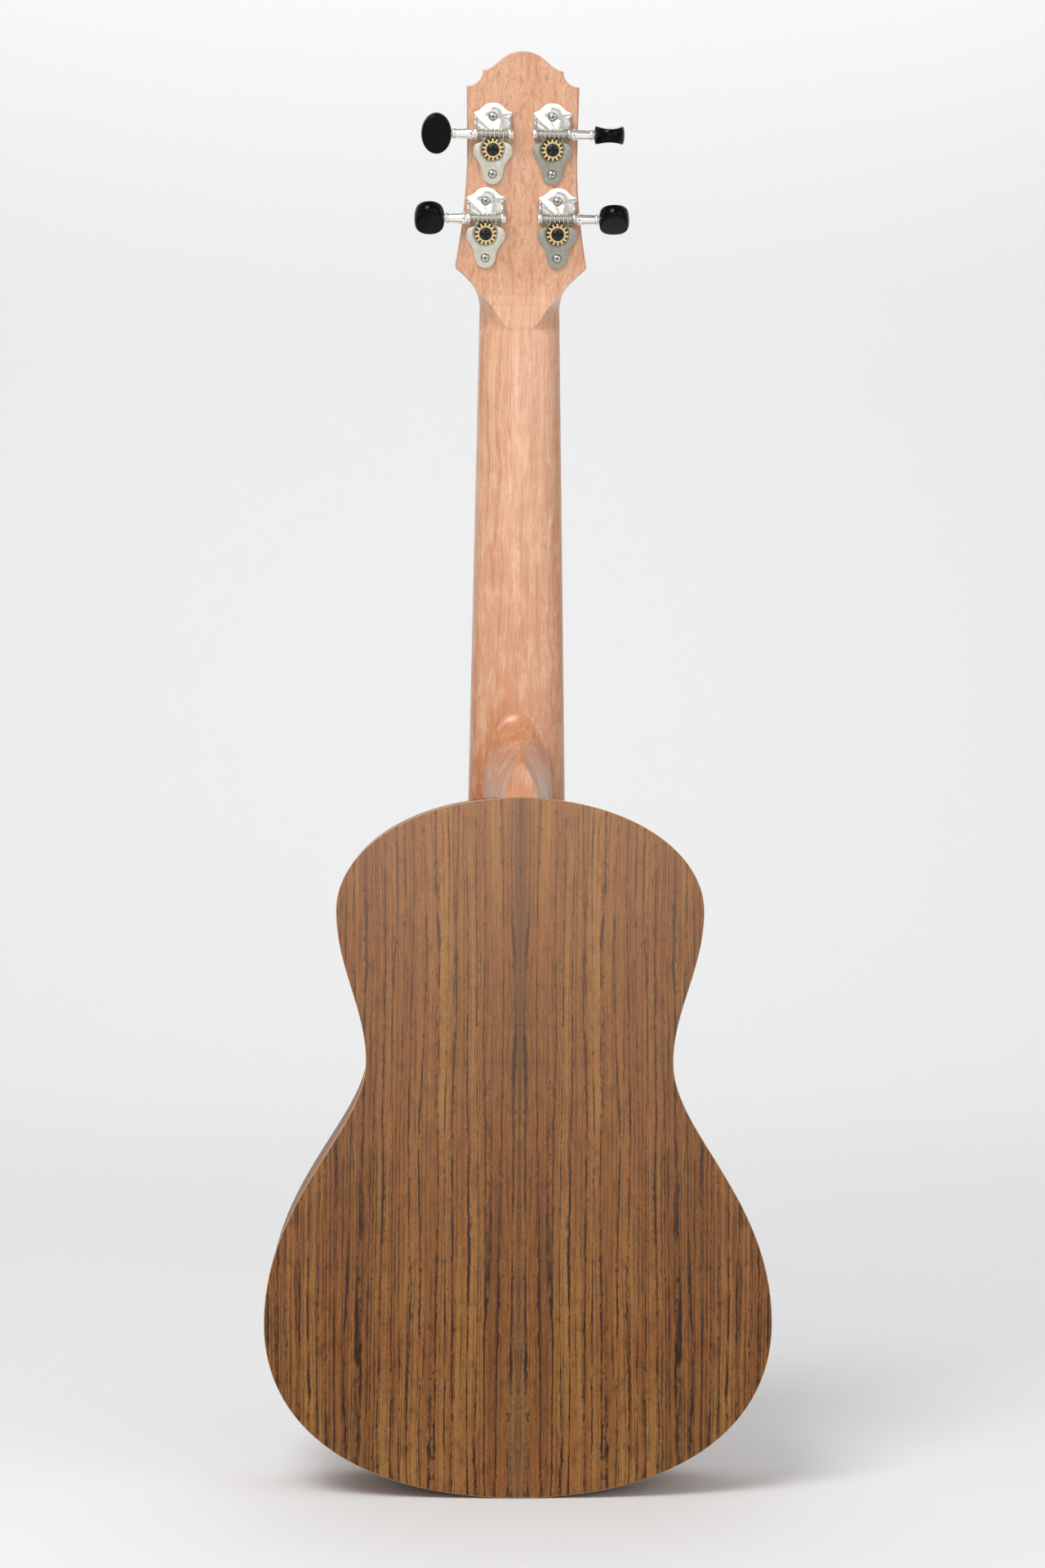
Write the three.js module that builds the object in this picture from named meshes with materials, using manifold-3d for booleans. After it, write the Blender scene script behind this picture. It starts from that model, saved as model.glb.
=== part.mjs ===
// A concert ukulele, standing upright with its back towards -Y and its strings towards +Y.
// Millimetres, +Z up. The origin is the lowest point of the body's tail end, on the centre line.
// It is built as a luthier builds it: a box of thin plates on blocks, linings and braces,
// a carved neck with a tilted headstock, and four open-geared tuning machines.

import * as THREE from "three";
import { mergeVertices } from "three/addons/utils/BufferGeometryUtils.js";
import Module from "manifold-3d";

const wasm = await Module();
wasm.setup();

const { cos, sin, PI, hypot, sqrt } = Math;
const X = new THREE.Vector3(1, 0, 0);
const Y = new THREE.Vector3(0, 1, 0);
const Z = new THREE.Vector3(0, 0, 1);

// ---------------------------------------------------------------- driving dimensions

const CONTACT_GAP = 0.06; // left between pieces that are glued or pressed together
const FAR = 400; // larger than the instrument, for cutting tools

// Half outline of the body: half widths and heights of its bouts and waist, and how far each
// curve's handles reach along the tangents that they share.
const body = {
  length: 290,
  lowerHalf: 105.5,
  lowerZ: 72,
  waistHalf: 64,
  waistZ: 180,
  upperHalf: 76.7,
  upperZ: 243,
  reach: {
    tail: 65,
    lowerDown: 44,
    lowerUp: 52,
    waistDown: 29,
    waistUp: 22,
    upperDown: 24,
    upperUp: 25,
    neck: 45,
  },
  frontY: 34, // outer face of the soundboard
  tailDepth: 68,
  neckDepth: 60,
  plate: 2.0, // soundboard and back
  rib: 1.9,
};

const soundhole = { z: 193, r: 29, rosetteIn: 31.5, rosetteOut: 36.5, inlay: 0.8 };
const lining = { width: 5, height: 7.5 };
const blocks = { half: 27, neckZ: 248, tailTop: 14 };
const brace = { width: 6, height: 9, tip: 3, scoop: 26, linerGap: 0.4 };
const topBraceZ = { upper: 235, lower: 154 };
const backBraceZ = { upper: 236, middle: 150, lower: 66 };
const bridgePatch = { half: 36, thick: 2, bottom: 102, top: 132 };

const scale = 381;
const bodyFret = 14;
const fretCount = 18;
const fretZ = (n) => nutZ - scale * (1 - 2 ** (-n / 12));
const nutZ = body.length + scale * 2 ** (-bodyFret / 12) * (2 ** (bodyFret / 12) - 1);
const saddleZ = nutZ - scale;

const fretboard = { thick: 5, nutHalf: 17.25, joinHalf: 20.9, fretWidth: 2, fretTop: 1.2, fretHeight: 1 };
fretboard.topY = body.frontY + fretboard.thick;
fretboard.endZ = fretZ(fretCount) - 3;

const nut = { thick: 5, height: 6.6, crown: 0.4, crownAt: 1.6, fall: 2.4, slotGap: 0.12, slotDepth: 0.55 };
const saddle = { length: 50, thick: 3, topY: 44.4, breakBehind: 0.9, seat: 3.1 };
const bridge = {
  half: 41,
  wing: 3.2,
  wingR: 8,
  slotFloor: 3,
  slotGap: 0.06,
  bevel: 2,
  tieBevel: 1.5,
  deckHalf: 29,
  deck: 7.6,
  tieHeight: 7.2,
  tieTop: 113.2,
  bottom: 103,
  top: 126.5,
  trough: 117,
  ramp: 118.5,
  rampY: 5.8,
  troughY: 2.6,
  stringHoleR: 1.1,
  stringHoleY: 3.6,
};

const neck = { nutDepth: 14, heelDepth: 16.2, cheek: 1.4, roundness: 2.15, crest: 0.995, intoBody: 6 };
// Where the round of the neck runs out into the flat back of the headstock: a flat that starts
// startHalf wide at `start` and widens upwards, creased along both sides, is all of the back at `end`.
const runout = {
  round: 488.5,
  start: 494.5,
  startHalf: 8,
  slope: 0.66,
  squareFrom: 506,
  square: 10,
  flank: 50 * (PI / 180),
};
const heel = {
  topY: 24,
  saddleRise: 38,
  capRise: 14.5,
  topHalf: 15,
  capHalf: 6.8,
  topArch: 2,
  capArch: 1.4,
  squareness: 0.75,
  inset: 0.15,
};

const headstock = {
  tilt: 13 * (PI / 180),
  thick: 12.5,
  startZ: nutZ + nut.thick + 0.2,
  edge: 0.7,
  cornerHalf: 28.2,
  cornerV: 13.9,
  waistHalf: 23.5,
  waistV: 62,
  shoulderHalf: 23.9,
  shoulderV: 90.5,
  stepHalf: 17,
  stepV: 97,
  crownV: 105,
  // Inner handles of the curves that draw the flare, the side and the dome, as [half width, height].
  flareHandles: [[17.45, 2.4], [20.8, 7.9]],
  sideHandles: [[24.9, 31.9], [23.3, 50]],
  domeHandles: [[11.1, 97.6], [8.9, 105]],
  flareStartV: -5.3,
  bendHalf: 12, // the back bends to the headstock's tilt between this far below v = 0 and above it
};

const strings = [
  { name: "g", r: 0.33, nutX: 13, saddleX: 19.5 },
  { name: "c", r: 0.46, nutX: 4.35, saddleX: 6.5 },
  { name: "e", r: 0.41, nutX: -4.35, saddleX: -6.5 },
  { name: "a", r: 0.31, nutX: -13, saddleX: -19.5 },
];

// Tuning machines, in the order of the strings. turn is how far each button has been wound.
const tuners = [
  { name: "g", x: 15.4, v: 28.8, turn: 55 },
  { name: "c", x: 12.7, v: 64.3, turn: 90 },
  { name: "e", x: -12.7, v: 64.3, turn: 8 },
  { name: "a", x: -15.4, v: 28.8, turn: 47 },
];
const teeth = 14;
const wormPitch = 1.885;
const gear = {
  pitchR: (wormPitch * teeth) / (2 * PI),
  tipR: 4.75,
  rootR: 3.5,
  tipHalf: 0.24,
  rootHalf: 0.52,
  low: 2.8,
  high: 5.4,
};
const worm = {
  pitchR: 2.25,
  tipR: 2.65,
  rootR: 1.55,
  tipHalf: 0.18,
  rootHalf: 0.45,
  turns: 5,
  n: (gear.low + gear.high) / 2,
  v: gear.pitchR + 2.25,
  journalR: 1.9,
  stepsPerTurn: 8,
};
const plate = {
  thick: 1.1,
  top: 19.3,
  bottom: 14.8,
  screwUp: 13.6,
  screwDown: 10.5,
  postHoleR: 3.3,
  screwHoleR: 1.25,
};
const ear = { inner: 6.7, thick: 1.1, low: 3.4, high: 9.6, r: 2.9, holeR: 1.98 };
const post = { r: 3, waistR: 2.6, front: 12, tenon: 3.1, stringHoleR: 0.9, stringHole: 7.4 };
const bushing = { flangeR: 4.9, flange: 1, sleeveR: 4, length: 8, boreR: 3.09 };
const capScrew = { headR: 2.75, head: 1.5, shankR: 0.9, length: 4.2, slot: 0.62, slotDepth: 0.8 };
const woodScrew = { headR: 1.65, head: 0.9, shankR: 0.9, length: 7, slot: 0.42, slotDepth: 0.5, holeR: 1.05 };
const button = {
  inner: 17.5,
  length: 13.1,
  half: 8.75,
  thick: 8.3,
  dish: 1.2,
  round: 1.3,
  stubR: 1.5,
  stub: 6,
};
const collar = { start: 8, taperStart: 9.1, taperR: 2.7, taperEnd: 16, taperEndR: 2, beadR: 2.35 };

// ---------------------------------------------------------------- materials

const finish = (color, roughness, metalness = 0) =>
  new THREE.MeshStandardMaterial({ color, roughness, metalness });
const material = {
  striped: finish(0x8a6038, 0.5),
  spruce: finish(0xe0c48f, 0.5),
  mahogany: finish(0xdcaa84, 0.5),
  lightWood: finish(0xd8b98a, 0.7),
  rosewood: finish(0x3a241b, 0.45),
  bone: finish(0xf1ead6, 0.35),
  nickel: finish(0xd8d4c8, 0.25, 1),
  brass: finish(0xd9a860, 0.3, 1),
  blackScrew: finish(0x101214, 0.35, 0.6),
  blackPlastic: finish(0x0c0c10, 0.15),
  nylon: finish(0xe9e6dc, 0.3),
  inlay: finish(0x2a1d16, 0.4),
};

// ---------------------------------------------------------------- helpers

function solidOf(geometry) {
  const loose = geometry.index ? geometry.toNonIndexed() : geometry;
  const bare = new THREE.BufferGeometry().setAttribute("position", loose.getAttribute("position"));
  const merged = mergeVertices(bare, 1e-4);
  const made = new wasm.Manifold(
    new wasm.Mesh({
      numProp: 3,
      vertProperties: merged.attributes.position.array,
      triVerts: new Uint32Array(merged.index.array),
    }),
  );
  return made;
}

function geometryOf(solid) {
  const { numVert, numProp, vertProperties, triVerts } = solid.getMesh();
  const position = new Float32Array(numVert * 3);
  for (let i = 0; i < numVert; i++) {
    position.set(vertProperties.subarray(i * numProp, i * numProp + 3), i * 3);
  }
  const geometry = new THREE.BufferGeometry();
  geometry.setAttribute("position", new THREE.BufferAttribute(position, 3));
  geometry.setIndex(new THREE.BufferAttribute(triVerts, 1));
  geometry.computeVertexNormals();
  return geometry;
}

function piece(name, solid, look) {
  const mesh = new THREE.Mesh(geometryOf(solid), look);
  mesh.name = name;
  return mesh;
}

// A flat outline carried straight along u x v, from `at`. u and v are where the outline's x and y go.
function prism(points, depth, u, v, at = [0, 0, 0]) {
  const geometry = new THREE.ExtrudeGeometry(new THREE.Shape(points), { depth, bevelEnabled: false });
  const along = new THREE.Vector3().crossVectors(u, v);
  geometry.applyMatrix4(new THREE.Matrix4().makeBasis(u, v, along));
  geometry.translate(...at);
  return solidOf(geometry);
}

// An outline in the plane of the body's face, from y = front back to y = front - depth.
const slab = (points, front, depth) => prism(points, depth, X, Z, [0, front, 0]);

function block(xs, ys, zs) {
  const geometry = new THREE.BoxGeometry(xs[1] - xs[0], ys[1] - ys[0], zs[1] - zs[0]);
  geometry.translate((xs[0] + xs[1]) / 2, (ys[0] + ys[1]) / 2, (zs[0] + zs[1]) / 2);
  return solidOf(geometry);
}

// A turned piece about the Y axis. profile is [radius, y] from low y to high y, closed on the axis.
function turned(profile, segments) {
  const points = profile.map(([r, y]) => new THREE.Vector2(r, y));
  return solidOf(new THREE.LatheGeometry(points, segments));
}

const rod = (r, y0, y1, segments) =>
  turned([[0, y0], [r, y0], [r, y1], [0, y1]], segments);

function moved(solid, matrix) {
  return solidOf(geometryOf(solid).applyMatrix4(matrix));
}

const shifted = (solid, x, y, z) => moved(solid, new THREE.Matrix4().makeTranslation(x, y, z));
const alongX = (solid) => moved(solid, new THREE.Matrix4().makeRotationZ(-PI / 2));
const alongZ = (solid) => moved(solid, new THREE.Matrix4().makeRotationX(PI / 2));

// A closed skin over rings of equal point counts, each ring a list of [x, y, z], with flat end caps.
function loft(rings) {
  const count = rings[0].length;
  const faces = [];
  for (let i = 0; i + 1 < rings.length; i++)
    for (let j = 0; j < count; j++) {
      const k = (j + 1) % count;
      const [a, b, c, d] = [rings[i][j], rings[i][k], rings[i + 1][k], rings[i + 1][j]];
      faces.push([a, b, c], [a, c, d]);
    }
  const last = rings[rings.length - 1];
  const middle = (ring) => [0, 1, 2].map((a) => ring.reduce((sum, p) => sum + p[a], 0) / count);
  const [start, end] = [middle(rings[0]), middle(last)];
  for (let j = 0; j < count; j++) {
    const k = (j + 1) % count;
    faces.push([rings[0][k], rings[0][j], start], [last[j], last[k], end]);
  }
  const geometry = new THREE.BufferGeometry();
  geometry.setAttribute("position", new THREE.Float32BufferAttribute(faces.flat(2), 3));
  const made = solidOf(geometry);
  if (made.volume() > 0) return made;
  const turnedOut = faces.map(([a, b, c]) => [a, c, b]).flat(2);
  geometry.setAttribute("position", new THREE.Float32BufferAttribute(turnedOut, 3));
  return solidOf(geometry);
}

const mix = (a, b, t) => a + (b - a) * t;
const clamp01 = (t) => Math.min(1, Math.max(0, t));
const ease = (t) => clamp01(t) ** 2 * (3 - 2 * clamp01(t));
const arc = (r, from, to, steps, x = 0, y = 0) =>
  Array.from({ length: steps + 1 }, (_, i) => {
    const a = mix(from, to, i / steps);
    return new THREE.Vector2(x + r * cos(a), y + r * sin(a));
  });

// ---------------------------------------------------------------- body

// The right half of the outline from the tail to the neck, moved inwards by inset.
function halfOutline(inset = 0, steps = 11) {
  const b = body;
  const at = (x, z) => new THREE.Vector2(x, z);
  const curves = [
    [at(0, 0), at(b.reach.tail, 0), at(b.lowerHalf, b.lowerZ - b.reach.lowerDown), at(b.lowerHalf, b.lowerZ)],
    [
      at(b.lowerHalf, b.lowerZ),
      at(b.lowerHalf, b.lowerZ + b.reach.lowerUp),
      at(b.waistHalf, b.waistZ - b.reach.waistDown),
      at(b.waistHalf, b.waistZ),
    ],
    [
      at(b.waistHalf, b.waistZ),
      at(b.waistHalf, b.waistZ + b.reach.waistUp),
      at(b.upperHalf, b.upperZ - b.reach.upperDown),
      at(b.upperHalf, b.upperZ),
    ],
    [
      at(b.upperHalf, b.upperZ),
      at(b.upperHalf, b.upperZ + b.reach.upperUp),
      at(b.reach.neck, b.length),
      at(0, b.length),
    ],
  ].map((p) => new THREE.CubicBezierCurve(...p));
  return curves.flatMap((curve, c) =>
    Array.from({ length: steps + (c === curves.length - 1 ? 1 : 0) }, (_, i) => {
      const p = curve.getPoint(i / steps);
      const t = curve.getTangent(i / steps);
      return at(Math.max(0, p.x - t.y * inset), p.y + t.x * inset);
    }),
  );
}

function outline(inset = 0, steps) {
  const right = halfOutline(inset, steps);
  const left = right.slice(1, -1).reverse().map((p) => new THREE.Vector2(-p.x, p.y));
  return [...right, ...left];
}

// The back slopes: the body is shallower at the neck than at the tail.
const backSlope = (body.tailDepth - body.neckDepth) / body.length;
const backY = (z) => body.frontY - body.tailDepth + backSlope * z;

// All the space between two sheets that lie parallel to the back, `low` and `high` above its outer face.
function aboveBack(low, high) {
  const [z0, z1] = [-FAR, 2 * FAR];
  const points = [
    [backY(z0) + low, z0],
    [backY(z1) + low, z1],
    [backY(z1) + high, z1],
    [backY(z0) + high, z0],
  ].map(([y, z]) => new THREE.Vector2(y, z));
  return prism(points, FAR, Y, Z, [-FAR / 2, 0, 0]);
}

const innerFrontY = body.frontY - body.plate;
const innerBack = body.plate + CONTACT_GAP;

function backPlate() {
  return slab(outline(), FAR / 4, FAR / 2).intersect(aboveBack(0, body.plate));
}

function soundboard() {
  const hole = alongFront(soundhole.r, innerFrontY - 1, body.frontY + 1, 32);
  const [floor, front] = [body.frontY - soundhole.inlay, body.frontY + 1];
  const disc = alongFront(soundhole.rosetteOut + CONTACT_GAP, floor, front, 36);
  const island = alongFront(soundhole.rosetteIn - CONTACT_GAP, floor - 1, front + 1, 36);
  return slab(outline(), body.frontY, body.plate).subtract(hole).subtract(disc.subtract(island));
}

// A disc through the soundboard, centred on the soundhole.
const alongFront = (r, y0, y1, segments) => shifted(rod(r, y0, y1, segments), 0, 0, soundhole.z);

function rosette() {
  const [low, high] = [body.frontY - soundhole.inlay + CONTACT_GAP, body.frontY];
  return alongFront(soundhole.rosetteOut, low, high, 36).subtract(
    alongFront(soundhole.rosetteIn, low - 1, high + 1, 36),
  );
}

// One bent side: the strip between two outlines, from the tail joint round to the neck joint.
function side(hand) {
  const strip = [...halfOutline(0), ...halfOutline(body.rib).reverse()];
  const handed = strip.map((p) => new THREE.Vector2(hand * p.x, p.y));
  return slab(handed, innerFrontY - CONTACT_GAP, FAR / 4).intersect(aboveBack(innerBack, FAR));
}

const insideRibs = (gap) => slab(outline(body.rib + gap), FAR / 4, FAR / 2);

function neckBlock() {
  const raw = block([-blocks.half, blocks.half], [-FAR, innerFrontY - CONTACT_GAP], [blocks.neckZ, FAR]);
  return raw.intersect(insideRibs(CONTACT_GAP)).intersect(aboveBack(innerBack, FAR));
}

function tailBlock() {
  const clear = lining.height + 2 * CONTACT_GAP;
  const raw = block([-blocks.half, blocks.half], [-FAR, innerFrontY - clear], [-1, blocks.tailTop]);
  return raw.intersect(insideRibs(CONTACT_GAP)).intersect(aboveBack(innerBack + clear, FAR));
}

// A lining runs round the inside corner from one cheek of the neck block to the other.
function liningRing(sheet) {
  const ring = slab(outline(body.rib + CONTACT_GAP), FAR / 4, FAR / 2).subtract(
    slab(outline(body.rib + lining.width), FAR / 2, FAR),
  );
  const cheek = blocks.half + CONTACT_GAP;
  const neckBlockSpace = block([-cheek, cheek], [-FAR, FAR], [(blocks.neckZ + body.upperZ) / 2, FAR]);
  return ring.intersect(sheet).subtract(neckBlockSpace);
}

const underTop = innerFrontY - CONTACT_GAP;
const topSheet = block([-FAR, FAR], [underTop - lining.height, underTop], [-FAR, FAR]);

// Half the free width inside the linings at height z.
function freeHalf(z) {
  const edge = halfOutline(body.rib + lining.width + brace.linerGap, 40);
  return edge.reduce((best, p) => (Math.abs(p.y - z) < Math.abs(best.y - z) ? p : best)).x;
}

// A cross brace: a bar with scooped ends. face is the y of the plate it is glued to, inward is -1 or 1.
function crossBrace(z, face, inward) {
  const half = Math.min(freeHalf(z - brace.width / 2), freeHalf(z + brace.width / 2));
  const profile = [
    [-half, 0],
    [half, 0],
    [half, brace.tip],
    [half - brace.scoop, brace.height],
    [-half + brace.scoop, brace.height],
    [-half, brace.tip],
  ].map(([x, h]) => new THREE.Vector2(x, face + inward * h));
  return prism(profile, brace.width, X, Y, [0, 0, z - brace.width / 2]);
}

const topBrace = (z) => crossBrace(z, underTop, -1);
const backBrace = (z) => crossBrace(z, backY(z + brace.width / 2) + innerBack, 1);

function bridgePlate() {
  const { half, thick, bottom, top } = bridgePatch;
  return block([-half, half], [underTop - thick, underTop], [bottom, top]);
}

// ---------------------------------------------------------------- bridge, saddle and nut

function bridgeBody() {
  const b = bridge;
  const base = body.frontY;
  const wings = slab(
    [
      ...arc(b.wingR, -PI / 2, PI / 2, 6, b.half - b.wingR, (b.bottom + b.top) / 2),
      ...arc(b.wingR, PI / 2, 1.5 * PI, 6, b.wingR - b.half, (b.bottom + b.top) / 2),
    ],
    base + b.wing,
    b.wing,
  );
  const profile = [
    [b.bottom, 0],
    [b.top, 0],
    [b.top, b.wing],
    [b.top - b.bevel, b.deck],
    [b.ramp, b.deck],
    [b.trough, b.rampY],
    [b.trough, b.troughY],
    [b.tieTop, b.troughY],
    [b.tieTop, b.tieHeight],
    [b.bottom + b.tieBevel, b.tieHeight],
    [b.bottom, b.tieHeight - b.tieBevel],
  ].map(([z, y]) => new THREE.Vector2(base + y, z));
  const middle = prism(profile, 2 * b.deckHalf, Y, Z, [-b.deckHalf, 0, 0]);
  const [slotHalf, slotWide] = [saddle.length / 2 + b.slotGap, saddle.thick / 2 + b.slotGap];
  const slot = block([-slotHalf, slotHalf], [base + b.slotFloor, FAR], [saddleZ - slotWide, saddleZ + slotWide]);
  const holes = strings.map(({ saddleX }) =>
    shifted(alongZ(rod(b.stringHoleR, -20, 20, 10)), saddleX, base + b.stringHoleY, b.bottom),
  );
  const blank = wings.add(middle).subtract(slot);
  return holes.reduce((solid, hole) => solid.subtract(hole.intersect(tieZone())), blank);
}

const tieZone = () => block([-FAR, FAR], [0, FAR], [bridge.bottom - 5, bridge.tieTop + 1]);

function saddleBone() {
  const [bottom, half] = [body.frontY + saddle.seat, saddle.thick / 2];
  const profile = [
    [bottom, -half],
    [saddle.topY - 1.6, -half],
    [saddle.topY, -0.55],
    [saddle.topY, 0.7],
    [saddle.topY - 0.8, half],
    [bottom, half],
  ].map(([y, z]) => new THREE.Vector2(y, saddleZ + z));
  return prism(profile, saddle.length, Y, Z, [-saddle.length / 2, 0, 0]);
}

function nutBone() {
  const [bottom, top] = [body.frontY + CONTACT_GAP, body.frontY + nut.height];
  const start = nutZ + CONTACT_GAP;
  const profile = [
    [bottom, start],
    [top, start],
    [top - nut.crown, start + nut.crownAt],
    [top - nut.fall, start + nut.thick - CONTACT_GAP],
    [bottom, start + nut.thick - CONTACT_GAP],
  ].map(([y, z]) => new THREE.Vector2(y, z));
  const raw = prism(profile, 2 * fretboard.nutHalf, Y, Z, [-fretboard.nutHalf, 0, 0]);
  const slots = strings.map((s) => tube(stringRoute(s).slice(2), s.r + nut.slotGap, 8));
  return slots.reduce((solid, slot) => solid.subtract(slot), raw);
}

// ---------------------------------------------------------------- fretboard

const boardHalf = (z) =>
  mix(fretboard.joinHalf, fretboard.nutHalf, (z - body.length) / (nutZ - body.length));

function frettedBoard() {
  const { endZ, thick, topY, fretWidth, fretTop, fretHeight } = fretboard;
  const board = slab(
    [
      [boardHalf(endZ), endZ],
      [boardHalf(nutZ), nutZ],
      [-boardHalf(nutZ), nutZ],
      [-boardHalf(endZ), endZ],
    ].map(([x, z]) => new THREE.Vector2(x, z)),
    topY,
    thick - CONTACT_GAP,
  );
  const frets = Array.from({ length: fretCount }, (_, i) => {
    const z = fretZ(i + 1);
    const half = boardHalf(z) - 0.3;
    const profile = [
      [-1, -fretWidth / 2],
      [fretHeight * 0.5, -fretWidth / 2],
      [fretHeight, -fretTop / 2],
      [fretHeight, fretTop / 2],
      [fretHeight * 0.5, fretWidth / 2],
      [-1, fretWidth / 2],
    ].map(([y, dz]) => new THREE.Vector2(topY + y, z + dz));
    return prism(profile, 2 * half, Y, Z, [-half, 0, 0]);
  });
  return frets.reduce((solid, fret) => solid.add(fret), board);
}

// ---------------------------------------------------------------- neck and headstock

// Half width of the headstock at v, its distance up the tilted face, as stations from the nut to the crown.
function headstockStations() {
  const h = headstock;
  const curve = (from, [first, second], to) =>
    new THREE.CubicBezierCurve(...[from, first, second, to].map((p) => new THREE.Vector2(...p)));
  const flareEnd = [h.cornerHalf - 0.5, h.cornerV - 0.6];
  const flare = curve([boardHalf(nutZ), h.flareStartV], h.flareHandles, flareEnd);
  const side = curve([h.cornerHalf, h.cornerV + 0.6], h.sideHandles, [h.waistHalf, h.waistV]);
  const dome = curve([h.stepHalf - 0.4, h.stepV], h.domeHandles, [0.6, h.crownV]);
  // The notch below the dome is a quarter of an oval, hollow outwards.
  const [wide, tall] = [h.shoulderHalf - h.stepHalf, h.stepV - h.shoulderV];
  const notch = arc(1, -PI / 2, -PI, 5).map(
    (p) => new THREE.Vector2(h.shoulderHalf + wide * p.x, h.stepV - 0.2 + tall * p.y),
  );
  return [
    ...flare.getPoints(7).slice(1),
    ...side.getPoints(5),
    new THREE.Vector2(h.shoulderHalf, h.shoulderV - 0.6),
    ...notch,
    ...dome.getPoints(8),
  ];
}

// A section of the neck or headstock, from its right front corner round the back to the left one.
function sectionAt(half, front, depth, lean, z) {
  const back = [front[0] - depth * cos(lean), front[1] - depth * sin(lean)];
  const edge = Math.min(headstock.edge, half * 0.9);
  const carved = ease((z - runout.round) / (runout.start - runout.round));
  const squared = ease((z - runout.squareFrom) / runout.square);
  const flankDepth = mix(depth - neck.cheek, edge, squared);
  const widening = runout.startHalf + runout.slope * Math.max(0, z - runout.start);
  const flatHalf = mix(Math.min(widening, half - edge), half - edge, squared);
  const power = 2 / neck.roundness;
  const sides = Array.from({ length: 7 }, (_, i) => {
    const a = (PI / 2) * (i / 6);
    const roundX = half * mix(1, Math.max(0, cos(a)) ** power, neck.crest);
    const roundUp = (depth - neck.cheek) * (1 - sin(a) ** power);
    const flankX = mix(half, flatHalf, i / 6);
    const flankUp = flankDepth * (1 - sin((runout.flank * i) / 6) / sin(runout.flank));
    return [mix(roundX, flankX, carved), mix(roundUp, flankUp, carved)];
  });
  const reach = hypot(front[0] - back[0], front[1] - back[1]);
  const right = [[half, reach], ...sides].map(([x, up]) => {
    const t = (reach - up) / reach;
    return [x, mix(front[0], back[0], t), mix(front[1], back[1], t)];
  });
  const left = right.map(([x, y, zz]) => [-x, y, zz]).reverse();
  return [...right, ...left];
}

const neckDepth = (z) => mix(neck.heelDepth, neck.nutDepth, (z - body.length) / (nutZ - body.length));

function neckShaft() {
  const evenly = (from, to, steps) => Array.from({ length: steps }, (_, i) => mix(from, to, i / steps));
  const heights = [
    ...evenly(body.length - neck.intoBody, runout.round, 3),
    ...evenly(runout.round, nutZ, 6),
    nutZ,
  ];
  const rings = heights.map((z) => sectionAt(boardHalf(z), [body.frontY, z], neckDepth(z), 0, z));
  for (const { x: half, y: v } of headstockStations()) {
    const bend = ease((v / headstock.bendHalf + 1) / 2);
    const front = v < 0 ? [body.frontY, headstock.startZ + v] : onHeadstock(v);
    const depth = mix(neck.nutDepth, headstock.thick, bend);
    rings.push(sectionAt(half, front, depth, headstock.tilt * bend, headstock.startZ + v));
  }
  return loft(rings);
}

const onHeadstock = (v) => [
  body.frontY - v * sin(headstock.tilt),
  headstock.startZ + v * cos(headstock.tilt),
];

// The heel drops from the neck to the back of the body. Each level is an arch, round where it leaves
// the neck and pointed at the flat cap, and its ridge runs into the crest of the neck in a hollow curve.
function heelKeel() {
  const levels = 10;
  const bottomY = backY(body.length) - 2;
  const crestY = body.frontY - neck.heelDepth;
  const arch = (y, half, rise, power) => {
    const over = Array.from({ length: 13 }, (_, j) => {
      const [c, s] = [cos(PI * (j / 12)), Math.max(0, sin(PI * (j / 12)))];
      return [half * Math.sign(c) * Math.abs(c) ** (2 / power), y, body.length + rise * s ** (2 / power)];
    });
    const foot = body.length - neck.intoBody;
    return [[half, y, foot], ...over, [-half, y, foot]];
  };
  const rings = [arch(heel.topY, heel.topHalf, heel.saddleRise, heel.topArch)];
  for (let i = 0; i < levels; i++) {
    const t = (i / (levels - 1)) ** 1.5;
    const hollow = mix(1 - t, 1 - sqrt(1 - (1 - t) ** 2), heel.squareness);
    const half = mix(heel.capHalf, heel.topHalf, (1 - t) ** 1.3);
    const rise = mix(heel.capRise, heel.saddleRise, hollow);
    const power = mix(heel.topArch, heel.capArch, Math.min(1, 2 * t));
    rings.push(arch(mix(crestY, bottomY, t), half, rise, power));
  }
  return loft(rings);
}

const headstockFrame = new THREE.Matrix4()
  .makeTranslation(0, body.frontY, headstock.startZ)
  .multiply(new THREE.Matrix4().makeRotationX(headstock.tilt));

function neckPiece() {
  const clearOfBody = slab(outline(-CONTACT_GAP), FAR / 2, FAR);
  let solid = neckShaft().add(heelKeel()).subtract(clearOfBody).intersect(aboveBack(heel.inset, FAR));
  for (const { x, v } of tuners) {
    const drill = (tool, dz) => moved(shifted(tool, x, 0, v + dz), headstockFrame);
    solid = solid.subtract(drill(rod(bushing.sleeveR + 0.12, -30, 10, 18), 0));
    for (const dz of [plate.screwUp, -plate.screwDown]) {
      const depth = woodScrew.length + 0.6;
      const pilot = rod(woodScrew.holeR, -headstock.thick - 5, -headstock.thick + depth, 8);
      solid = solid.subtract(drill(pilot, dz));
    }
  }
  return solid;
}

// ---------------------------------------------------------------- strings

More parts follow.
